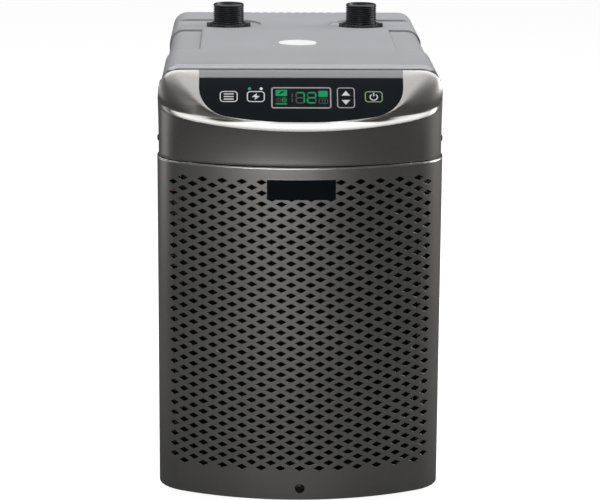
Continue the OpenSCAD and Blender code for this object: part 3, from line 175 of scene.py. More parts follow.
def bow(dist, r, corner, half, front):
    """Points and normal angles at distances along half of a bowed outline: an arc of radius r
    from the middle, an arc of the corner's radius that ends square, then straight back."""
    turn = math.asin((half - corner) / (r - corner))
    first, second = r * turn, corner * (math.pi / 2 - turn)
    middle = r - math.sqrt((r - corner) ** 2 - (half - corner) ** 2)
    a = np.clip(dist, 0, first) / r
    b = turn + np.clip(dist - first, 0, second) / corner
    angle = np.where(dist < first, a, b)
    x = np.where(dist < first, r * np.sin(a), half - corner + corner * np.sin(b))
    y = np.where(dist < first, r - r * np.cos(a), middle - corner * np.cos(b))
    return x, y + front + np.maximum(dist - first - second, 0), angle


def reach(outline, y):
    """Distance along half of a bowed outline at which it comes back to a depth y."""
    dist = np.linspace(0, 400, 8001)
    return float(np.interp(y, bow(dist, **outline)[1], dist))


def smooth(t):
    """Eased step: 3 t^2 - 2 t^3 between 0 and 1."""
    t = np.clip(t, 0, 1)
    return t * t * (3 - 2 * t)


def rim_height(y):
    """Height of the rim's lower edge at a depth: it rises evenly from the front."""
    return RIM_LOW_Z + RIM_SLOPE * (y - RIM["front"])


def ledge_width(angle, y, full):
    """How far the rim stands out from the cheek's foot. Before the cover it goes with the power 1.2
    of how squarely the rim faces forward, less a little that grows with the fourth power of its
    angle. Beside the cover it grows evenly with depth, up to where it stays the same."""
    middle, sunk, rear, rear_y = 8.0, 0.3, 1.0, 73.0
    end = angle[full][-1]
    facing = np.clip((np.cos(angle) - math.cos(end)) / (1 - math.cos(end)), 0, 1)
    before = middle * facing ** 1.2 - sunk * (angle / end) ** 4
    return np.where(full, before, np.interp(y, [COVER_FRONT, rear_y], [-sunk, rear]))


def opening_rows(share, y, full):
    """Edge of the panel's opening, the margin's outer edge and the opening's lining, all in or under
    the slope's plane. Beside the cover they run straight back under its edge, at a crest whose
    height falls by an eased step."""
    margin, sunk = 2.0, 0.05
    crest_z, crest_rise, crest_y, crest_run, cover_x = 403.9, 6.5, 64.0, 14.0, 135.2
    u, v, turn = bow(share * reach(PANEL, COVER_LINE), **PANEL)
    opening, bank, lining = (
        on_face(np.stack([u + m * np.sin(turn), v - m * np.cos(turn), np.full_like(u, w)], axis=-1))
        for m, w in ((0, 0), (margin, 0), (0, -LINING)))
    for row in (opening, bank):
        row[:, 2] = np.maximum(row[:, 2], rim_height(row[:, 1]) + RIM_BAND - sunk)
    back = y[~full]
    crest = crest_z + crest_rise * smooth((crest_y - back) / crest_run)
    for row, outward, below in ((opening, 0, 0.3), (bank, 0.4, 0), (lining, 0, 4)):
        row[~full] = np.stack([np.full(len(back), cover_x + outward), back, crest - below], axis=-1)
    return opening, bank, lining


def cheek_rows(foot, bank, full):
    """Cheek from its foot to the margin. The slope's plane runs on from the margin, then rolls down
    as a near-elliptical quarter whose height is the plane's own above the foot. Towards the cover's
    front the roll stands on an upright wall that swells outwards, so it passes outside the cover's
    rounded corner. Beside the cover the cheek is upright below and rounded in at its edge."""
    swell_y, most_swell, most_stem = 14.0, 3.0, 10.0
    roll_share, roll_reach, roll_power = 0.85, 0.7, 0.85
    way = bank - foot
    length = np.hypot(way[:, 0], way[:, 1])[:, None]
    plane_z = FACE_Z + (foot[:, 1] - FACE_Y) * math.tan(FACE_ANGLE)
    height = np.maximum(plane_z - foot[:, 2], 0)[:, None]
    near_cover = smooth((foot[:, 1] - swell_y) / (COVER_FRONT - swell_y))[:, None]
    swell, stem = most_swell * near_cover, most_stem * near_cover
    roll = np.minimum(roll_share * (height - stem), roll_reach * length + swell)
    wall, turn = np.linspace(0, 1, 10)[None, :-1], np.linspace(0, np.pi / 2, 22)[None]
    flat = np.linspace(0, 1, 13)[None, 1:]
    deep = np.concatenate([-swell * np.sin(wall * np.pi / 2),
                           roll * (1 - np.cos(turn) ** roll_power) - swell,
                           roll - swell + (length - roll + swell) * flat], axis=1)
    fall = np.concatenate([height - stem * wall, (height - stem) * (1 - np.sin(turn) ** roll_power),
                           0 * height * flat], axis=1)
    share = deep / np.maximum(length, 1e-6)
    rows = foot[:, None] + way[:, None] * share[..., None]
    rows[..., 2] = foot[:, 2:] + height + (way[:, 2:] - height) * share - fall
    t = np.linspace(0, np.pi / 2, rows.shape[1])
    inward, upward = 1 - np.cos(t) ** 0.7, np.sin(t) ** 0.9
    rows[~full] = foot[~full, None] + way[~full, None] * np.stack([inward, inward, upward], axis=-1)
    return rows


def nose_rows(foot, ledge, out, rim_round):
    """Rim's band from the cheek's foot out and down to its lower edge, part straight, part a
    quarter ellipse: out by s and sin, down by s and 1 - cos, mixed by the round share."""
    drop = 3.9
    s = np.linspace(0, 1, 14)
    out_share = (1 - rim_round) * s + rim_round * np.sin(s * np.pi / 2)
    down_share = (1 - rim_round) * s + rim_round * (1 - np.cos(s * np.pi / 2))
    xy = foot[:, None, :2] + (ledge[:, None] * out_share)[..., None] * out[:, None]
    z = foot[:, 2:] + RIM_SLOPE * (xy[..., 1] - foot[:, 1:2]) - drop * down_share
    return np.concatenate([xy, z[..., None]], axis=-1)


def skirt_rows(dist, cut, back, rim):
    """Skirt from under the rim down to the seam and back up inside. Below the rim it stands out
    towards it by the square of the share of its height that is left."""
    flare, gap, thick, inner_top = 0.9, 1.2, 2.8, 362.0
    marks = [0, cut, back], [0, reach(SKIRT, COVER_FRONT), reach(SKIRT, HEAD_BACK)]
    x, y, turn = bow(np.interp(dist, *marks), **SKIRT)
    plan, out = np.stack([x, y], axis=-1), np.stack([np.sin(turn), -np.cos(turn)], axis=-1)
    top, foot = rim_height(y), SEAM_Z + gap

    def wall(inset, z, share=0.0):
        """Row of points moved in by an inset, and out towards the rim by the square of a share."""
        return with_height(plan - inset * out + (rim - plan) * flare * share ** 2, z)

    under = [wall(0, top - 0.05, 1.0), wall(0.06, top - 0.3, 1.0)]
    drop = [wall(0, top + (foot + 0.4 - top) * k, 1 - k) for k in np.linspace(0.06, 1, 16)]
    lower_edge = [wall(0.1, foot + 0.1), wall(0.4, foot), wall(thick - 0.2, foot)]
    inside = [wall(thick, foot + 0.4), wall(thick, inner_top)]
    return np.stack(under + drop + lower_edge + inside, axis=1)


def head_rows(rim_round):
    """Cross-sections of the control head's right half, from the middle round to its rear edge.

    Each section starts at the panel's opening, crosses the margin and the cheek, follows the rim's
    band to its round nose, returns under it to the skirt, drops to the seam and comes back inside.
    The sections before the cover's front are full. Behind that line they end under the cover."""
    front_sections, rear_sections, crowding = 74, 18, 0.94
    bend_x, bend_run, bend_delay, dip = 98.0, 24.0, 6.0, 0.4
    cut, back = reach(RIM, COVER_FRONT), reach(RIM, HEAD_BACK)
    before = cut * np.linspace(0, 1, front_sections) ** crowding
    dist = np.concatenate([before, np.linspace(cut, back, rear_sections)])
    full = np.arange(len(dist)) < front_sections
    x, y, turn = bow(dist, **RIM)
    rim, out = np.stack([x, y], axis=-1), np.stack([np.sin(turn), -np.cos(turn)], axis=-1)
    ledge = ledge_width(turn, y, full)
    foot = rim - ledge[:, None] * out
    foot = with_height(foot, rim_height(foot[:, 1]) + RIM_BAND)
    opening, bank, lining = opening_rows(np.minimum(dist / cut, 1), y, full)
    margin = opening[:, None] + (bank - opening)[:, None] * np.linspace(0, 1, 5)[:-1, None]
    cheek = cheek_rows(foot, bank, full)[:, ::-1]
    nose = nose_rows(foot, ledge, out, rim_round)[:, 1:]
    lip = with_height(rim, rim_height(y) + 0.15)[:, None]
    crown = np.concatenate([margin, cheek, nose, lip], axis=1)

    # The slope bends down a little as it nears the cover, earlier beside the panel than outside
    v = (crown[..., 1] - FACE_Y) / math.cos(FACE_ANGLE)
    bend = PANEL_TOP + bend_delay * smooth((crown[..., 0] - bend_x) / bend_run)
    sink = dip * np.clip((v - bend) / (COVER_LINE - bend), 0, 1) ** 2
    crown[..., 2] -= np.where(full[:, None], sink, 0)
    # Points move towards the weighted mean of themselves and their neighbours, less near the opening
    soft = crown.copy()
    for _ in range(9):
        soft[:, 1:-1] = (soft[:, :-2] + 2 * soft[:, 1:-1] + soft[:, 2:]) / 4
    weight = smooth(np.linspace(0, 6, crown.shape[1])[None, :, None])
    crown = crown * (1 - weight) + soft * weight
    return np.concatenate([crown, skirt_rows(dist, cut, back, rim), lining[:, None]], axis=1)


def thread(crest, depth, pitch, low, high):
    """Wave for a turned port: between low and high, the outer radius falls from the crest by a
    rounded V, 1 - |2 frac(z / pitch - angle / turn) - 1| eased, and fades out at each end."""
    crest_flat, root_flat, top_fade, near_crest = 0.12, 0.12, 0.6, 0.01

    def wave(angle, shape):
        """Radii of the profile at each angle, less the valley's depth there."""
        radius, z = shape[..., 0], shape[..., 1]
        phase = (z / pitch - angle[:, None] / (2 * np.pi)) % 1.0
        valley = 1 - np.abs(2 * phase - 1)
        valley = smooth((valley - crest_flat) / (1 - crest_flat - root_flat))
        fade = smooth((z - low) / pitch) * smooth((high - z) / (top_fade * pitch))
        on_wall = radius > crest - near_crest
        shape[..., 0] = radius - np.where(on_wall, depth * valley * fade, 0)
        return shape
    return wave


def lug_wave(teeth, base):
    """Wave for a lock ring: the outer radius grows to a lug at each quarter turn and carries small
    teeth between, an eased sine of the angle times their number, which also notch the top edge."""
    outer_radius, arm, lug_half, lug_soft, lug_rise = 20.0, 22.0, 3.9, 0.8, 3.3
    tooth_shift, tooth_sharp, tooth_depth, notch, notch_height = 0.25, 1.6, 0.75, 0.5, 3.0

    def wave(angle, shape):
        """Radii and heights of the profile at each angle."""
        outer = shape[..., 0] > outer_radius
        from_lug = np.abs((angle + np.pi / 4) % (np.pi / 2) - np.pi / 4)[:, None] * arm
        lug = smooth((lug_half - from_lug) / lug_soft)
        tooth = smooth((np.sin(angle * teeth)[:, None] + tooth_shift) * tooth_sharp) * (1 - lug)
        cut = (1 - lug) * (1 - tooth)
        shape[..., 0] += np.where(outer, lug_rise * lug - tooth_depth * cut, 0)
        shape[..., 1] -= np.where(outer & (shape[..., 1] > base + notch_height), notch * cut, 0)
        return shape
    return wave


def arc(centre, radius, start, end, steps):
    """Points on a circle between two angles in degrees."""
    a = np.radians(np.linspace(start, end, steps))
    return np.stack([centre[0] + radius * np.cos(a), centre[1] + radius * np.sin(a)], axis=-1)


def round_box(u0, u1, v0, v1, r, steps=7):
    """Rectangle with round corners, anticlockwise."""
    r = min(r, (u1 - u0) / 2 - 1e-3, (v1 - v0) / 2 - 1e-3)
    corners = ((u1 - r, v0 + r), (u1 - r, v1 - r), (u0 + r, v1 - r), (u0 + r, v0 + r))
    return np.concatenate([arc(centre, r, a, a + 90, steps) for centre, a in zip(corners, (-90, 0, 90, 180))])


def pan_head(radius, height, recess, rings=22, spokes=64):
    """Screw head as heights on a polar grid: a shallow dome with a rounded edge, less a cross whose
    arms are narrow where either |x| or |y| is small. The underside closes it flat at zero."""
    edge, arm_half, arm_soft, arm_end, end_soft = 0.35, 0.17, 0.06, 0.62, 0.1
    t = np.linspace(0, 1, rings)[:, None]
    a = (np.arange(spokes) * 2 * np.pi / spokes)[None]
    r = np.sin(t * np.pi / 2)
    x, y = r * np.cos(a), r * np.sin(a)
    dome = height * (edge + (1 - edge) * np.sqrt(np.clip(1 - r ** 2, 0, 1))) + 0 * a
    arm = smooth((arm_half - np.minimum(np.abs(x), np.abs(y))) / arm_soft)
    dome = dome - recess * arm * smooth((arm_end - r) / end_soft)
    x, y = radius * x, radius * y
    top = np.stack([x, y, dome], axis=-1)
    foot = np.stack([x[-1], y[-1], np.zeros(spokes)], axis=-1)[None]
    rows = np.concatenate([top[1:], foot])
    points = np.concatenate([rows.reshape(-1, 3), top[0, :1], [[0, 0, 0]]])
    k, k2 = np.arange(spokes), (np.arange(spokes) + 1) % spokes
    u = np.arange(len(rows) - 1)[:, None] * spokes
    quads = np.stack([u + k, u + spokes + k, u + spokes + k2, u + k2], axis=-1).reshape(-1, 4)
    peak, base = len(rows) * spokes, (len(rows) - 1) * spokes
    caps = [[peak, int(i), int(j)] for i, j in zip(k, k2)]
    caps += [[peak + 1, base + int(j), base + int(i)] for i, j in zip(k, k2)]
    return points, quads, caps


def screw_heads(name, finish, axis, centres, radius, height, replaces=()):
    """Pan heads as one piece: each head's own z is laid along a level axis, with a twist of its own."""
    recess_share, first_twist, next_twist = 0.75, 0.5, 1.3
    axis = np.array(axis, float)
    across = np.cross(axis, (0, 0, 1))
    points, quads, caps = pan_head(radius, height, recess_share * height)
    shells = Shells()
    for i, centre in enumerate(centres):
        a = first_twist + next_twist * i
        twist = np.array([[math.cos(a), math.sin(a), 0], [-math.sin(a), math.cos(a), 0], [0, 0, 1]])
        shells.add(points @ twist @ np.stack([across, np.cross(axis, across), axis]) + centre, quads, caps)
    shells.build(name, "case", finish, finish, replaces, 38)


# Bars of a seven-segment digit, named a to g from the top round, that each number lights
SEGMENTS = {"0": "abcdef", "1": "bc", "2": "abged", "3": "abgcd", "4": "fgbc", "5": "afgcd",
            "6": "afgedc", "7": "abc", "8": "abcdefg", "9": "abcdfg"}


def segment_bars(u0, u1, v0, v1, thick):
    """Seven mitred bars of a digit's box, each as its outline, keyed a to g from the top round."""
    middle, gap, h = (v0 + v1) / 2, 0.12 * thick, thick / 2

    def level(y):
        """Bar that lies across the box at a height."""
        left, right = u0 + gap + h, u1 - gap - h
        return [(left, y), (left + h, y - h), (right - h, y - h), (right, y), (right - h, y + h),
                (left + h, y + h)]

    def upright(x, a, b):
        """Bar that stands at x between two heights."""
        low, high = a + gap, b - gap
        return [(x, low), (x + h, low + h), (x + h, high - h), (x, high), (x - h, high - h), (x - h, low + h)]

    return {"a": level(v1 - h), "g": level(middle), "d": level(v0 + h),
            "f": upright(u0 + h, middle, v1 - h), "b": upright(u1 - h, middle, v1 - h),
            "e": upright(u0 + h, v0 + h, middle), "c": upright(u1 - h, v0 + h, middle)}


def key_print(key, ink, outline, width, signs, ring=True):
    """A key's outline as one piece and its signs as another, laid on the key's top."""
    edge, marks = Shells(), Shells()
    edge.ribbon(outline, width, *KEY_INK, ring)
    edge.build(key + "_outline", key + "_key", "white_plastic", ink)
    for sign in signs:
        marks.slab(sign, *KEY_INK)
    marks.build(key + "_sign", key + "_key", "white_plastic", "ink_white")


# Finishes

# Every finish by its slot's name, or by its own where no slot has it
FINISHES = {}


class Value:
    """A number that varies over a surface: one node output, with arithmetic that adds Math nodes."""

    def __init__(self, nodes, socket):
        self.nodes, self.socket = nodes, socket

    def math(self, operation, *others):
        """Result of one Math node on this value and the others."""
        node = self.nodes.add("ShaderNodeMath", {"operation": operation}, dict(enumerate((self,) + others)))
        return Value(self.nodes, node.outputs[0])

    def __add__(self, other):
        return self.math("ADD", other)

    def __mul__(self, other):
        return self.math("MULTIPLY", other)

    def __sub__(self, other):
        return self.math("SUBTRACT", other)

    def __rsub__(self, other):
        return (self * -1.0) + other

    __radd__, __rmul__ = __add__, __mul__


class Nodes:
    """Emptied node tree of a material or a world, with the one way to add a node to it."""

    def __init__(self, owner):
        owner.use_nodes = True
        self.tree = owner.node_tree
        self.tree.nodes.clear()

    def add(self, kind, settings=None, sockets=None):
        """Adds a node: first its settings, then its sockets' values or links. None leaves a socket."""
        node = self.tree.nodes.new(kind)
        for key, value in (settings or {}).items():
            setattr(node, key, value)
        for key, value in (sockets or {}).items():
            if isinstance(value, Value):
                value = value.socket
            if isinstance(value, bpy.types.NodeSocket):
                self.tree.links.new(value, node.inputs[key])
            elif value is not None:
                node.inputs[key].default_value = value
        return node

    def mix(self, factor, low, high):
        """Colour between two, by a factor."""
        node = self.add("ShaderNodeMix", {"data_type": "RGBA", "clamp_factor": True},
                        {0: factor, 6: opaque(low), 7: opaque(high)})
        return node.outputs[2]


class Finish(Nodes):
    """A node material for one kind of surface."""

    def __init__(self, name):
        self.material = bpy.data.materials.new(name)
        super().__init__(self.material)
        self.place = self.add("ShaderNodeTexCoord").outputs["Object"]

    def noise(self, scale, detail=2.0, rough=0.5, stretch=None):
        """Soft random value, about 0.5 on average, with features about 1 / scale metres across."""
        place = self.place
        if stretch:
            place = self.add("ShaderNodeMapping", None, {"Vector": self.place, "Scale": stretch}).outputs[0]
        node = self.add("ShaderNodeTexNoise", {"noise_dimensions": "3D"},
                        {"Vector": place, "Scale": scale, "Detail": detail, "Roughness": rough})
        return Value(self, node.outputs[0])

    def cells(self, scale, output="Distance"):
        """Distance to the nearest of many scattered points, or each point's own random colour."""
        node = self.add("ShaderNodeTexVoronoi", None, {"Vector": self.place, "Scale": scale})
        return Value(self, node.outputs[output])

    def part(self, axis):
        """One coordinate of the surface point, in metres."""
        node = self.add("ShaderNodeSeparateXYZ", None, {0: self.place})
        return Value(self, node.outputs["XYZ".index(axis)])

    def vector(self, operation, *others, output=0):
        """Result of one Vector Math node."""
        node = self.add("ShaderNodeVectorMath", {"operation": operation}, dict(enumerate(others)))
        return node.outputs[output]

    def flat(self):
        """Normal of the face itself."""
        return self.add("ShaderNodeNewGeometry").outputs["True Normal"]

    def edges(self, radius):
        """Normal as if every edge were rounded by a radius in metres."""
        return self.add("ShaderNodeBevel", {"samples": 4}, {"Radius": radius}).outputs[0]

    def bump(self, height, depth, normal=None):
        """Normal disturbed by a height whose full range stands for a depth in metres."""
        return self.add("ShaderNodeBump", None, {"Strength": 1.0, "Distance": depth, "Height": height,
                                                 "Normal": normal}).outputs[0]

    def coat(self, colour, pattern, low, high, rough, height, depth, edge=None, **fixed):
        """Ends the material: the colour goes from darker to lighter by a pattern, a height stands
        out by a depth in metres, and edges are rounded by a radius in metres."""
        tone = self.mix(pattern, shade(colour, low), shade(colour, high))
        normal = self.bump(height, depth, self.edges(edge) if edge else None)
        return self.done(tone, rough, normal, **fixed)

    def done(self, colour, rough, normal, **fixed):
        """Ends the material in its shader. Fixed sockets are named with _ for each space."""
        sockets = {"Base Color": colour, "Roughness": rough, "Normal": normal}
        sockets.update({key.replace("_", " "): value for key, value in fixed.items()})
        shader = self.add("ShaderNodeBsdfPrincipled", None, sockets)
        self.add("ShaderNodeOutputMaterial", None, {"Surface": shader.outputs[0]})
        return self.material


def opaque(colour):
    """A colour with its alpha of 1, or a socket as it is."""
    return (*colour, 1.0) if isinstance(colour, tuple) else colour


def shade(colour, by):
    """A colour made lighter or darker by a factor."""
    return tuple(min(1.0, c * by) for c in colour)


def moulded(name, colour, rough=0.5, grain=0.00004, grain_scale=2600.0, edge=0.0006, spread=0.12):
    """Moulded plastic: fine cellular grain, faint cloudy shade and soft edges."""
    f = Finish(name)
    cloud, fine = f.noise(14, 3), f.noise(grain_scale, 2)
    rough = fine * 0.16 + cloud * 0.10 + (rough - 0.13)
    return f.coat(colour, cloud * 0.7 + fine * 0.3, 1 - spread, 1 + spread, rough, fine, grain, edge)


def bow_normal(f, r, corner, half, front):
    """Normal of the bowed wall itself, in place of its flat facets. In plan it points away from the
    arc's centre, or from the corner's centre beyond the line where the arcs meet, and is used only
    where the flat normal already lies within a few degrees of it, which the second value tells."""
    least_cosine = 0.985
    turn = math.asin((half - corner) / (r - corner))
    line = r * math.sin(turn) / 1000
    middle_y = (front + r + HOME[1]) / 1000
    corner_x = (half - corner) / 1000
    corner_y = (front + r - math.sqrt((r - corner) ** 2 - (half - corner) ** 2) + HOME[1]) / 1000
    x, y = f.part("X"), f.part("Y")
    on_corner = x.math("ABSOLUTE").math("GREATER_THAN", line)
    centre_x = on_corner * x.math("SIGN") * corner_x
    centre_y = on_corner * (corner_y - middle_y) + middle_y
    away = f.add("ShaderNodeCombineXYZ", None, {0: x - centre_x, 1: y - centre_y, 2: 0.0}).outputs[0]
    away, flat = f.vector("NORMALIZE", away), f.flat()
    match = Value(f, f.vector("DOT_PRODUCT", away, flat, output="Value"))
    outer = match.math("GREATER_THAN", least_cosine)
    return f.add("ShaderNodeMix", {"data_type": "VECTOR"}, {0: outer, 4: flat, 5: away}).outputs[1], outer


def grille_finish(colour):
    """Dark metallic shell: the bow's own normal, rounded hole edges, fine flake, and the hole walls darkened
    as painted shade.
    """
    f = Finish("dark_lacquer")
    painted_hole_shade = (0.05, 0.05, 0.05)
    normal, outer = bow_normal(f, **BOW)
    change = f.vector("SUBTRACT", f.edges(0.00028), f.flat())
    normal = f.vector("NORMALIZE", f.vector("ADD", normal, change))
    cloud, fine, flake = f.noise(9, 3), f.noise(3000, 2), f.cells(4200, "Color")
    tone = f.mix(cloud * 0.4 + flake * 0.6, shade(colour, 0.8), shade(colour, 1.2))
    rough = fine * 0.12 + cloud * 0.08 + 0.25
    # The hole walls take a near-black colour in place of the shell's: painted shade inside the holes.
    return f.done(f.mix(outer, painted_hole_shade, tone), rough, f.bump(fine, 0.000012, normal),
                  Metallic=0.92, Coat_Weight=0.15, Coat_Roughness=0.25)


def lacquer(name, colour, rough=0.36):
    """Metallic lacquer: fine bright and dark flake in a warm grey, under a thin clear coat."""
    f = Finish(name)
    flake, fine, cloud = f.cells(4200, "Color"), f.noise(5200, 2), f.noise(11, 2)
    rough = fine * 0.14 + cloud * 0.06 + (rough - 0.10)
    return f.coat(colour, flake * 0.6 + fine * 0.4, 0.72, 1.28, rough, fine, 0.000012, 0.0005,
                  Metallic=0.92, Coat_Weight=0.15, Coat_Roughness=0.25)


def glossy(name, colour, rough=0.16):
    """Smooth glossy sheet: faint waviness and finger-fine roughness changes."""
    f = Finish(name)
    cloud, fine = f.noise(18, 3), f.noise(900, 2)
    rough = cloud * 0.06 + fine * 0.04 + (rough - 0.05)
    return f.coat(colour, cloud, 0.85, 1.15, rough, cloud, 0.00002, 0.0003, Specular_IOR_Level=0.15)


def brushed(name, colour, rough=0.34, along=(1, 30, 1), metal=1.0):
    """Drawn or rolled metal: streaks along one way, or none, and dull patches."""
    f = Finish(name)
    streak, cloud = f.noise(160, 3, 0.6, along), f.noise(22, 3)
    rough = streak * 0.14 + cloud * 0.14 + (rough - 0.14)
    both = streak * 0.5 + cloud * 0.5
    return f.coat(colour, both, 0.84, 1.1, rough, streak, 0.00001, 0.0004, Metallic=metal)


def spangled(name, colour):
    """Galvanised sheet: crystal patches of slightly different grey."""
    f = Finish(name)
    patch, fine = f.cells(70, "Color"), f.noise(700, 2)
    rough = patch * 0.16 + fine * 0.08 + 0.34
    return f.coat(colour, patch, 0.82, 1.12, rough, fine, 0.00001, 0.0004, Metallic=0.85)


def powder(name, colour, rough=0.45):
    """Powder coat: orange-peel bump under an even colour."""
    f = Finish(name)
    peel, cloud = f.noise(1100, 2), f.noise(8, 3)
    rough = peel * 0.12 + cloud * 0.08 + (rough - 0.1)
    return f.coat(colour, cloud * 0.7 + peel * 0.3, 0.88, 1.14, rough, peel, 0.00003, 0.0008)


def woven(name, colour, scale=900.0):
    """Open mesh or foam: cells whose hollows are painted darker as shade."""
    f = Finish(name)
    cell = f.cells(scale)
    # Colour darkens towards each cell's hollow, where the bump is lowest: painted shade.
    return f.coat(colour, cell * 1.6, 0.5, 1.5, cell * 0.2 + 0.75, cell, 0.0003)


def printed(name, colour, glow=0.0):
    """Screen-printed ink, or a lit display segment: where it glows, its own colour is dark."""
    f = Finish(name)
    fine, cloud = f.noise(2400, 2), f.noise(60, 2)
    pattern, low, high, light = fine * 0.5 + cloud * 0.5, 0.92, 1.06, {}
    if glow:
        pattern, low, high = fine, 0.10, 0.14
        light = dict(Emission_Color=opaque(colour), Emission_Strength=glow)
    rough = fine * 0.1 + 0.35
    return f.coat(colour, pattern, low, high, rough, fine, 0.000006, Specular_IOR_Level=0.2, **light)


# Settings

def size_setting(name, description, default, low, high):
    """Setting for a size in mm."""
    return bpy.props.FloatProperty(name=name, description=description + ", in mm", default=default,
                                   min=low, max=high)


def colour_setting(name, description, default):
    """Setting for a base colour."""
    return bpy.props.FloatVectorProperty(name=name, description=description, default=default, size=3,
                                         min=0.0, max=1.0, subtype="COLOR")


class ChillerShapes(bpy.types.PropertyGroup):
    """Sizes of the fine pieces"""
    rim_round: bpy.props.FloatProperty(
        name="Rim Round", description="Share of the rim's section that is elliptical and not straight",
        default=0.45, min=0, max=1, subtype="FACTOR")
    thread_pitch: size_setting("Thread Pitch", "Pitch of the port threads", 2.309, 1, 4)
    thread_depth: size_setting("Thread Depth", "Depth of the port threads", 1.48, 0.3, 1.6)
    ring_teeth: bpy.props.IntProperty(
        name="Ring Teeth", description="Teeth round each lock ring", default=36, min=0, max=72)
    print_width: size_setting("Outline Width", "Width of the printed key outlines", 1.0, 0.4, 2)
    temperature: bpy.props.IntProperty(
        name="Temperature", description="Number on the display", default=72, min=10, max=99)


class ChillerColours(bpy.types.PropertyGroup):
    """Base colours of the main finishes"""
    shell: colour_setting("Shell", "Dark metallic lacquer of the front grille", (0.58, 0.568, 0.556))
    head: colour_setting("Head", "Metallic lacquer of the control head", (0.54, 0.53, 0.515))
    cover: colour_setting("Cover", "Light top cover", (0.31, 0.313, 0.327))
    grip: colour_setting("Grips", "Hand-grip inserts", (0.28, 0.281, 0.29))
    panel: colour_setting("Panel", "Black control panel", (0.011, 0.014, 0.017))
    steel: colour_setting("Side Panels", "Powder-coated steel", (0.05, 0.05, 0.053))
    green: colour_setting("Lit Green", "Lit display segments", (0.0, 0.27, 0.10))
    ink: colour_setting("Ink", "White print on the panel", (0.80, 0.82, 0.82))


# Operators

class CHILLER_OT_finishes(bpy.types.Operator):
    """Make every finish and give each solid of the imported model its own"""
    bl_idname = "chiller.finishes"
    bl_label = "Finishes"

    def execute(self, context):
        colours = context.scene.chiller_colours
        FINISHES.update({
            "grille": grille_finish(tuple(colours.shell)),
            "pewter": lacquer("pewter_lacquer", tuple(colours.head)),
            # Near-white lacquer for the grille's top bead and clips: a painted highlight on the rounded edge,
            # which is the shell's own plastic.
            "painted_highlight_edge": lacquer("painted_highlight_lacquer", (0.95, 0.94, 0.92), 0.32),
            "silver_cover": moulded("silver_cover", tuple(colours.cover), 0.42, 0.00003, 3000, 0.0024, 0.05),
            "grip_grey": moulded("grip_grey", tuple(colours.grip), 0.5, 0.00003, 3000, 0.0022, 0.05),
            "shoulder_grey": moulded("shoulder_grey", (0.34, 0.342, 0.352), 0.5, 0.00003, 3000, 0.0012, 0.04),
            "black_panel": glossy("gloss_black", tuple(colours.panel)),
            "black_plastic": moulded("black_plastic", (0.007, 0.008, 0.012), 0.3, 0.00001),
            "white_plastic": moulded("white_disc", (0.86, 0.86, 0.86), 0.3, 0.00001, 2000, 0.0005, 0.02),
            "black_screw": brushed("black_screw", (0.03, 0.03, 0.032), 0.38, None, 0.6),
            "window": glossy("smoked_window", (0.016, 0.017, 0.02), 0.12),
            "status_green": printed("status_green", (0.10, 0.42, 0.34), 0.55),
            "rubber": moulded("rubber", (0.02, 0.02, 0.02), 0.75, 0.00008, 1200),
            "zinc": brushed("zinc", (0.56, 0.56, 0.57), 0.32, None),
            "case_steel": powder("powder_coat", tuple(colours.steel)),
            "galvanised": spangled("galvanised", (0.52, 0.53, 0.54)),
            "aluminium": brushed("aluminium", (0.74, 0.75, 0.76), 0.36, (30, 1, 1)),
            "copper": brushed("copper", (0.72, 0.36, 0.22), 0.34, (1, 1, 6)),
            "brass": brushed("brass", (0.72, 0.56, 0.24), 0.28),
            "black_metal": powder("black_enamel", (0.02, 0.02, 0.021), 0.32),
            "stainless": brushed("stainless", (0.62, 0.62, 0.63), 0.3, (30, 1, 1)),
            "board_green": moulded("solder_mask", (0.02, 0.16, 0.07), 0.35, 0.00002, 900),
            "filter_mesh": woven("filter_mesh", (0.015, 0.015, 0.016)),
            "foam": woven("foam", (0.03, 0.03, 0.034), 500),
            "ink_white": printed("ink_white", tuple(colours.ink)),
            "ink_green": printed("ink_green", (0.30, 0.44, 0.24)),
            "lit_green": printed("lit_green", tuple(colours.green), 0.9),
            "unlit": printed("unlit_grey", (0.075, 0.075, 0.08)),
            "silver_print": printed("silver_print", (0.46, 0.46, 0.48)),
            "led_white": printed("led_white", (0.75, 0.78, 0.80), 0.8),
        })
        slots = {part["node"]: part["material_slot"] for part in frame["record"]["subparts"]}
        for name, piece in frame["nodes"].items():
            piece.data.materials.clear()
            piece.data.materials.append(FINISHES[slots[name]])
        return {"FINISHED"}


class CHILLER_OT_head(bpy.types.Operator):
    """Loft the control head: opening, margin, cheeks, round-nosed rim, skirt and rear shoulder strip"""
    bl_idname = "chiller.head"
    bl_label = "Control Head"

    def execute(self, context):
        rows = head_rows(context.scene.chiller_shapes.rim_round)
        left = rows[:0:-1] * np.array([-1, 1, 1])
        head = Shells()
        head.loft(np.concatenate([left, rows]))
        head.build("head_shell", "case", "pewter", "pewter", ["control_head"], 40)
        # The strip between panel and cover sinks by the square of how near the cover it is
        dip = 0.8 * math.cos(FACE_ANGLE)
        t = np.linspace(0, 1, 9)
        top = np.stack([PANEL_TOP + (COVER_LINE - PANEL_TOP) * t, -dip * t * t], axis=-1)
        section = np.concatenate([[(PANEL_TOP, -LINING)], top, [(COVER_LINE, -LINING)]])
        across = np.linspace(-PANEL["half"], PANEL["half"], 5)
        strip = np.stack([np.column_stack([np.full(len(section), u), section]) for u in across])
        shoulder = Shells()
        shoulder.loft(on_face(strip))
        shoulder.build("shoulder_strip", "case", "grip_grey", "shoulder_grey", (), 40)
        return {"FINISHED"}


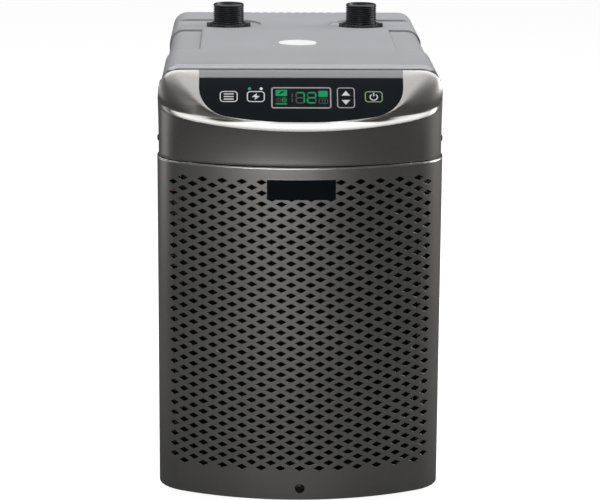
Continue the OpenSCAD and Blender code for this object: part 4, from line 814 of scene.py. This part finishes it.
class CHILLER_OT_bead(bpy.types.Operator):
    """Round the top edge of the grille with a thin bead along its bow, with two small clips on it, both in a
    pale lacquer that paints the edge's highlight
    """
    bl_idname = "chiller.bead"
    bl_label = "Grille Bead"

    def execute(self, context):
        back, radius, inner = 60, 1.65, -1.9
        clip_x, clip_low, clip_radius, clip_height, axle = 103, SEAM_Z - 0.5, 1.7, 0.8, 0.02
        x, y, turn = bow(np.linspace(0, reach(BOW, back), 90), **BOW)
        x, y, turn = (np.concatenate([sign * v[:0:-1], v]) for v, sign in ((x, -1), (y, 1), (turn, -1)))
        out = np.stack([np.sin(turn), -np.cos(turn)], axis=-1)[:, None]
        # Rounded in front and above, flat behind and below
        section = np.concatenate([arc((-1.5, SEAM_Z - 1.4), radius, 0, 90, 11),
                                  [(inner, SEAM_Z + 0.2), (inner, SEAM_Z - 1.6), (-0.2, SEAM_Z - 1.6)]])
        plan = np.stack([x, y], axis=-1)[:, None] + out * section[None, :, :1]
        height = np.broadcast_to(section[:, 1:], (len(x), len(section), 1))
        bead = Shells()
        bead.loft(np.concatenate([plan, height], axis=-1))
        # The bead's pale lacquer paints the highlight of the rounded edge.
        bead.build("grille_bead", "case", "grille", "painted_highlight_edge", (), 50)
        rise = np.linspace(0, np.pi / 2, 8)
        dome = np.stack([clip_radius * np.cos(rise) + axle, clip_low + clip_height * np.sin(rise)], axis=-1)
        dome = np.concatenate([[(axle, clip_low - 0.3)], dome])
        spot = np.argmin(np.abs(x - clip_x))
        clips = Shells()
        for sign in (-1, 1):
            clips.turned(dome, (sign * x[spot], y[spot] - inner, 0), 28)
        clips.build("seam_clips", "case", "grille", "painted_highlight_edge", (), 50)
        return {"FINISHED"}


class CHILLER_OT_ports(bpy.types.Operator):
    """Turn the two threaded ports and their toothed lock rings"""
    bl_idname = "chiller.ports"
    bl_label = "Ports"

    def execute(self, context):
        shapes = context.scene.chiller_shapes
        low, high = (v.z * 1000 - HOME[2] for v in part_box("inlet_port"))
        crest, bore, ring_top = PORT_CREST, PORT_BORE, SEAT_Z + 4.2
        thread_low = ring_top + 0.6
        wall_z = np.linspace(thread_low, high - 1.5, 110)
        # From under the ring up the threaded wall, over the rounded lip and down the bore
        profile = np.concatenate([
            [(crest - 0.3, low), (crest - 0.3, ring_top + 0.4)],
            np.stack([np.full(len(wall_z), crest), wall_z], axis=-1),
            [(crest - 0.35, high - 1.1), (crest - 0.75, high - 0.35), (crest - 1.3, high - 0.05)],
            [(bore + 2.0, high)], arc((bore + 2.0, high - 0.9), 0.9, 90, 180, 7)[1:],
            [(bore + 0.9, high - 1.9), (bore + 0.35, high - 2.5), (bore, high - 3.1), (bore, low)]])
        wave = thread(crest, shapes.thread_depth, shapes.thread_pitch, thread_low, high - 1.4)
        for name, x in (("inlet", -PORT_X), ("outlet", PORT_X)):
            port = Shells()
            port.turned(profile, (x, PORT_Y, 0), 96, wave)
            port.build(name + "_threaded_port", "case", "black_plastic", "black_plastic",
                       [name + "_port"], 50)
        ring = np.array([(16.9, 0), (20.6, 0), (20.6, 3.7), (20.2, 4.15), (19.4, 4.2), (18.6, 3.4),
                         (17.5, 3.4), (16.9, 3.6)]) + (0, SEAT_Z)
        rings = Shells()
        for x in (-PORT_X, PORT_X):
            rings.turned(ring, (x, PORT_Y, 0), 360, lug_wave(shapes.ring_teeth, SEAT_Z))
        rings.build("toothed_lock_rings", "case", "black_plastic", "black_plastic", ["port_lock_rings"], 35)
        return {"FINISHED"}


class CHILLER_OT_screws(bpy.types.Operator):
    """Set cross-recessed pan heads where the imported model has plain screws"""
    bl_idname = "chiller.screws"
    bl_label = "Screws"

    def execute(self, context):
        grille_screw, head_screw = (0, 0, 12), (138.5, 70.04, 350)
        side_x, side_front, vent_front, rear_face = 135, 81.84, 296, 450.5
        side_low, side_high, low_back, front_inset, rear_inset = 12.5, 239, 393, 12, 24
        rear_x, rear_heights = 127.5, (36, SEAM_Z / 2, SEAM_Z, 392)
        inlet_x, inlet_half, inlet_z, inlet_stand = -84, 20, 62, 2.4
        screw_heads("grille_screw_head", "black_screw", (0, -1, 0), [grille_screw], 4.7, 2.2,
                    ["grille_screw"])
        sides = [(side_front + front_inset, side_low), (low_back, side_low),
                 (vent_front + front_inset, side_high), (rear_face - rear_inset, side_high)]
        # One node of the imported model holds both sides' screws, so the left piece replaces it
        for name, finish, places, radius, height, node in (
                ("head_screw", "black_screw", [head_screw], 3.1, 1.5, "head_screws"),
                ("panel_screws", "zinc", [(side_x, *place) for place in sides], 3.4, 1.8, "side_screws")):
            for s, side in ((-1, "_left"), (1, "_right")):
                screw_heads(name + side, finish, (s, 0, 0), [(s * x, y, z) for x, y, z in places],
                            radius, height, [node] if s < 0 else ())
        rear = [(s * rear_x, rear_face, z) for s in (-1, 1) for z in rear_heights]
        rear += [(inlet_x + s * inlet_half, rear_face + inlet_stand, inlet_z) for s in (-1, 1)]
        screw_heads("rear_screw_heads", "zinc", (0, 1, 0), rear, 3.1, 1.8, ["rear_screws"])
        return {"FINISHED"}


class CHILLER_OT_keys(bpy.types.Operator):
    """Print each key's outline and its sign"""
    bl_idname = "chiller.keys"
    bl_label = "Key Prints"

    def execute(self, context):
        width = context.scene.chiller_shapes.print_width
        bare_edge, key_v, power_u = 0.1, 34.2, 69.6
        half_w, half_l = (half - width / 2 - bare_edge for half in (8.7, 6.3))
        bar_half, bar_thin, bar_step = 4.8, 0.6, 2.9
        bars = [round_box(-bar_half, bar_half, v - bar_thin, v + bar_thin, 0.25, 3)
                for v in (-bar_step, 0, bar_step)]
        bolt = [(1.0, 4.0), (-3.9, -0.5), (-0.6, -0.7), (-1.2, -4.0), (3.9, 0.7), (0.7, 0.8)]
        stroke = round_box(-0.55, 0.55, 0.4, 4.7, 0.25, 3)
        for key, ink, u, corner, signs in (("menu", "ink_white", -69.6, 3.0, bars),
                                           ("boost", "ink_white", -43.6, 3.0, [bolt]),
                                           ("power", "ink_green", power_u, 2.6, [stroke])):
            outline = round_box(u - half_w, u + half_w, key_v - half_l, key_v + half_l, corner)
            key_print(key, ink, outline, width, [np.array(sign) + (u, key_v) for sign in signs])
        ring = Shells()
        open_ring = arc((power_u, key_v - 0.3), radius=3.5, start=128, end=412, steps=40)
        ring.ribbon(open_ring, 1.05, *KEY_INK, ring=False)
        ring.build("power_ring", "power_key", "white_plastic", "ink_white")

        # Up and down share one outline, open where they meet, and each has a triangle
        middle, top, corner, start = (42.8, 33.0), 11.2, 2.6, 0.15
        loop = np.concatenate([[(half_w, start)], arc((half_w - corner, top - corner), corner, 0, 90, 8),
                               arc((corner - half_w, top - corner), corner, 90, 180, 8), [(-half_w, start)]])
        triangle = np.array([(-4.1, 2.5), (4.1, 2.5), (0, 7.9)])
        for key, way in (("up", 1), ("down", -1)):
            signs = [triangle * (1, way) + middle]
            key_print(key, "silver_print", loop * (1, way) + middle, width, signs, ring=False)
        return {"FINISHED"}


class CHILLER_OT_display(bpy.types.Operator):
    """Print the window's frame and the display's digits and signs"""
    bl_idname = "chiller.display"
    bl_label = "Display"

    def execute(self, context):
        window_v, window_half_w, window_half_l = 33, 28.2, 11.4
        window = Shells()
        window.ribbon(round_box(-window_half_w, window_half_w, window_v - window_half_l,
                                window_v + window_half_l, 2.0), 1.3, *PANEL_INK)
        window.build("window_frame", "case", "white_plastic", "silver_print")
        lit, unlit = Shells(), Shells()

        def digit(number, box, thick):
            """Bars of one digit: those that its number needs are lit."""
            for key, bar in segment_bars(*box, thick).items():
                (lit if key in SEGMENTS[number] else unlit).slab(bar, *PANEL_INK)

        tens, ones = str(context.scene.chiller_shapes.temperature)
        digit(tens, (-5.6, 3.6, 26.5, 39.6), 1.55)
        digit(ones, (5.3, 14.6, 26.5, 39.6), 1.55)
        for bar in "bc":
            unlit.slab(segment_bars(-14.6, -8.0, 26.8, 39.3, 1.4)[bar], *PANEL_INK)
        digit("6", (-18.6, -13.9, 28.0, 33.1), 0.8)
        for bar in segment_bars(-23.9, -19.4, 28.0, 33.1, 0.7).values():
            unlit.slab(bar, *PANEL_INK)
        for sign in (round_box(-24.6, -13.6, 35.0, 42.0, 0.5, 3), round_box(-24.6, -13.6, 25.4, 26.8, 0.3, 3),
                     round_box(16.4, 25.4, 34.0, 41.0, 1.2, 4)):
            lit.slab(sign, *PANEL_INK)
        unlit.ribbon(round_box(17.0, 25.0, 26.6, 32.0, 1.0, 4), 0.9, *PANEL_INK)
        unlit.ribbon(arc((21.4, 29.3), 1.5, 0, 345, 20), 0.8, *PANEL_INK)
        lit.build("lit_segments", "case", "status_green", "lit_green")
        unlit.build("unlit_segments", "case", "white_plastic", "unlit")
        mark = Shells()
        ink_top = PANEL_INK[1]
        mark.slab([(-22.4, 36.6), (-18.6, 38.0), (-15.6, 40.6), (-19.4, 40.2)], ink_top, ink_top + 0.03)
        mark.build("mode_mark", "case", "black_panel", "black_panel")
        return {"FINISHED"}


class CHILLER_OT_lights(bpy.types.Operator):
    """Set the two status lights' domes in the panel"""
    bl_idname = "chiller.lights"
    bl_label = "Status Lights"

    def execute(self, context):
        light_v = 43.3
        dome = [(0.02, 0.0), (1.5, 0.0), (1.35, 0.3), (0.9, 0.5), (0.02, 0.58)]
        for side, u, finish in (("left", -49.7, "status_green"), ("right", -38.5, "led_white")):
            light = Shells()
            light.turned(dome, (u, light_v, 0), 28, place=on_face)
            light.build("light_dome_" + side, "case", "status_green", finish)
        return {"FINISHED"}


def pale_floor():
    """Material that the camera sees as nearly white, with the object's shadow, and that throws back
    little light onto the object: its glow and its tone go by whether the camera looks at it."""
    seen_tone, dark_tone, seen_glow = (0.4, 0.4, 0.4), (0.06, 0.06, 0.06), 0.94
    material = bpy.data.materials.new("pale_floor")
    nodes = Nodes(material)
    seen = Value(nodes, nodes.add("ShaderNodeLightPath").outputs["Is Camera Ray"])
    tone = nodes.mix(seen, dark_tone, seen_tone)
    glow = nodes.add("ShaderNodeEmission", None, {"Strength": seen * seen_glow})
    matte = nodes.add("ShaderNodeBsdfDiffuse", None, {"Color": tone})
    both = nodes.add("ShaderNodeAddShader", None, {0: glow.outputs[0], 1: matte.outputs[0]})
    nodes.add("ShaderNodeOutputMaterial", None, {"Surface": both.outputs[0]})
    return material


def studio_world():
    """World that the camera sees as white and that lights the object dimly."""
    lighting, background = 0.06, 1.0
    world = bpy.data.worlds.new("studio")
    nodes = Nodes(world)
    seen = nodes.add("ShaderNodeLightPath").outputs["Is Camera Ray"]
    dim, white = (nodes.add("ShaderNodeBackground", None, {"Color": (1, 1, 1, 1), "Strength": strength})
                  for strength in (lighting, background))
    both = nodes.add("ShaderNodeMixShader", None, {0: seen, 1: dim.outputs[0], 2: white.outputs[0]})
    nodes.add("ShaderNodeOutputWorld", None, {"Surface": both.outputs[0]})
    return world


def stand(name, data, axes, place):
    """Puts a lamp or the camera in the scene, with its own x, y and z along three axes."""
    thing = bpy.data.objects.new(name, data)
    bpy.context.scene.collection.objects.link(thing)
    matrix = np.eye(4)
    matrix[:3, :3] = np.stack(axes, axis=1)
    matrix[:3, 3] = place
    thing.matrix_world = Matrix(matrix.tolist())
    return thing


def softbox(name, watts, size, place, target):
    """Rectangular lamp at a place, its face turned to a target and its long side level."""
    data = bpy.data.lights.new(name, "AREA")
    data.shape = "RECTANGLE"
    data.size, data.size_y = size
    data.energy = watts
    place, target = np.array(place, float), np.array(target, float)
    back = (place - target) / np.linalg.norm(place - target)
    side = np.cross((0, 0, 1), back)
    side /= np.linalg.norm(side)
    stand(name, data, (side, np.cross(back, side), back), place)


class CHILLER_OT_stage(bpy.types.Operator):
    """Set the pale floor, the soft lamps and the camera at the photograph's place"""
    bl_idname = "chiller.stage"
    bl_label = "Stage"

    def execute(self, context):
        scene = context.scene
        half = 14.0
        mesh = bpy.data.meshes.new("floor")
        corners = [(-half, -half, 0), (half, -half, 0), (half, half, 0), (-half, half, 0)]
        mesh.from_pydata(corners, [], [(0, 1, 2, 3)])
        mesh.materials.append(pale_floor())
        floor = bpy.data.objects.new("floor", mesh)
        scene.collection.objects.link(floor)
        scene.world = studio_world()
        # Each lamp's watts, then its size, its place and the point that it faces, in metres
        for side, watts, size, place, target in (
                ("top", 27.5, (2.5, 1.5), (0.03, 0.36, 1.28), (0.03, 0.28, 0.4)),
                ("front", 10.5, (1.3, 0.6), (-0.35, -2.0, 0.74), (0, -0.2, 0.32)),
                ("right", 17.0, (1.0, 1.0), (1.7, 0.5, 0.9), (0.1, 0, 0.35)),
                ("left", 2.0, (0.9, 0.9), (-1.6, 0.5, 0.5), (-0.1, 0, 0.25))):
            softbox(side + "_softbox", watts, size, place, target)

        # The camera's place in mm from the grille's front and bottom edge, its angles, and its focal
        # length in the photograph's pixels follow from the edges that the photograph shows
        photo_width, focal_pixels = 600, 2354.4
        pitch, yaw, roll = 0.230, 0.0234, 0.006
        place = np.array([-52.6, -2203.3, 769.0])
        data = bpy.data.cameras.new("camera")
        data.sensor_fit, data.sensor_width = "HORIZONTAL", 36.0
        data.lens = focal_pixels * data.sensor_width / photo_width
        data.clip_end = 100
        level = math.cos(pitch)
        forward = np.array([math.sin(yaw) * level, math.cos(yaw) * level, -math.sin(pitch)])
        right = np.array([math.cos(yaw), -math.sin(yaw), 0])
        up = np.cross(right, forward)
        rolled_right = right * math.cos(roll) + up * math.sin(roll)
        rolled_up = -right * math.sin(roll) + up * math.cos(roll)
        scene.camera = stand("camera", data, (rolled_right, rolled_up, -forward), (place + HOME) / 1000)
        scene.view_settings.view_transform = "Standard"
        return {"FINISHED"}


STEPS = [CHILLER_OT_stage, CHILLER_OT_finishes, CHILLER_OT_head, CHILLER_OT_bead, CHILLER_OT_ports,
         CHILLER_OT_screws, CHILLER_OT_keys, CHILLER_OT_display, CHILLER_OT_lights]


class CHILLER_PT_panel(bpy.types.Panel):
    """Lists the chiller's sizes, colours and piece operators"""
    bl_label = "Chiller"
    bl_idname = "CHILLER_PT_panel"
    bl_space_type = "VIEW_3D"
    bl_region_type = "UI"
    bl_category = "Chiller"

    def draw(self, context):
        for group in (context.scene.chiller_shapes, context.scene.chiller_colours):
            box = self.layout.box()
            for key in type(group).__annotations__:
                box.prop(group, key)
        for step in STEPS:
            self.layout.operator(step.bl_idname)


CLASSES = [ChillerShapes, ChillerColours] + STEPS + [CHILLER_PT_panel]


def register():
    """Registers every class and gives the scene the two groups of settings."""
    for cls in CLASSES:
        bpy.utils.register_class(cls)
    bpy.types.Scene.chiller_shapes = bpy.props.PointerProperty(type=ChillerShapes)
    bpy.types.Scene.chiller_colours = bpy.props.PointerProperty(type=ChillerColours)


def unregister():
    """Takes back what register did, in the opposite order."""
    del bpy.types.Scene.chiller_colours
    del bpy.types.Scene.chiller_shapes
    for cls in reversed(CLASSES):
        bpy.utils.unregister_class(cls)


def main():
    """Builds everything in order."""
    register()
    for step in STEPS:
        group, name = step.bl_idname.split(".")
        if getattr(getattr(bpy.ops, group), name)() != {"FINISHED"}:
            raise RuntimeError(step.bl_idname + " did not finish")


if __name__ == "__main__":
    main()
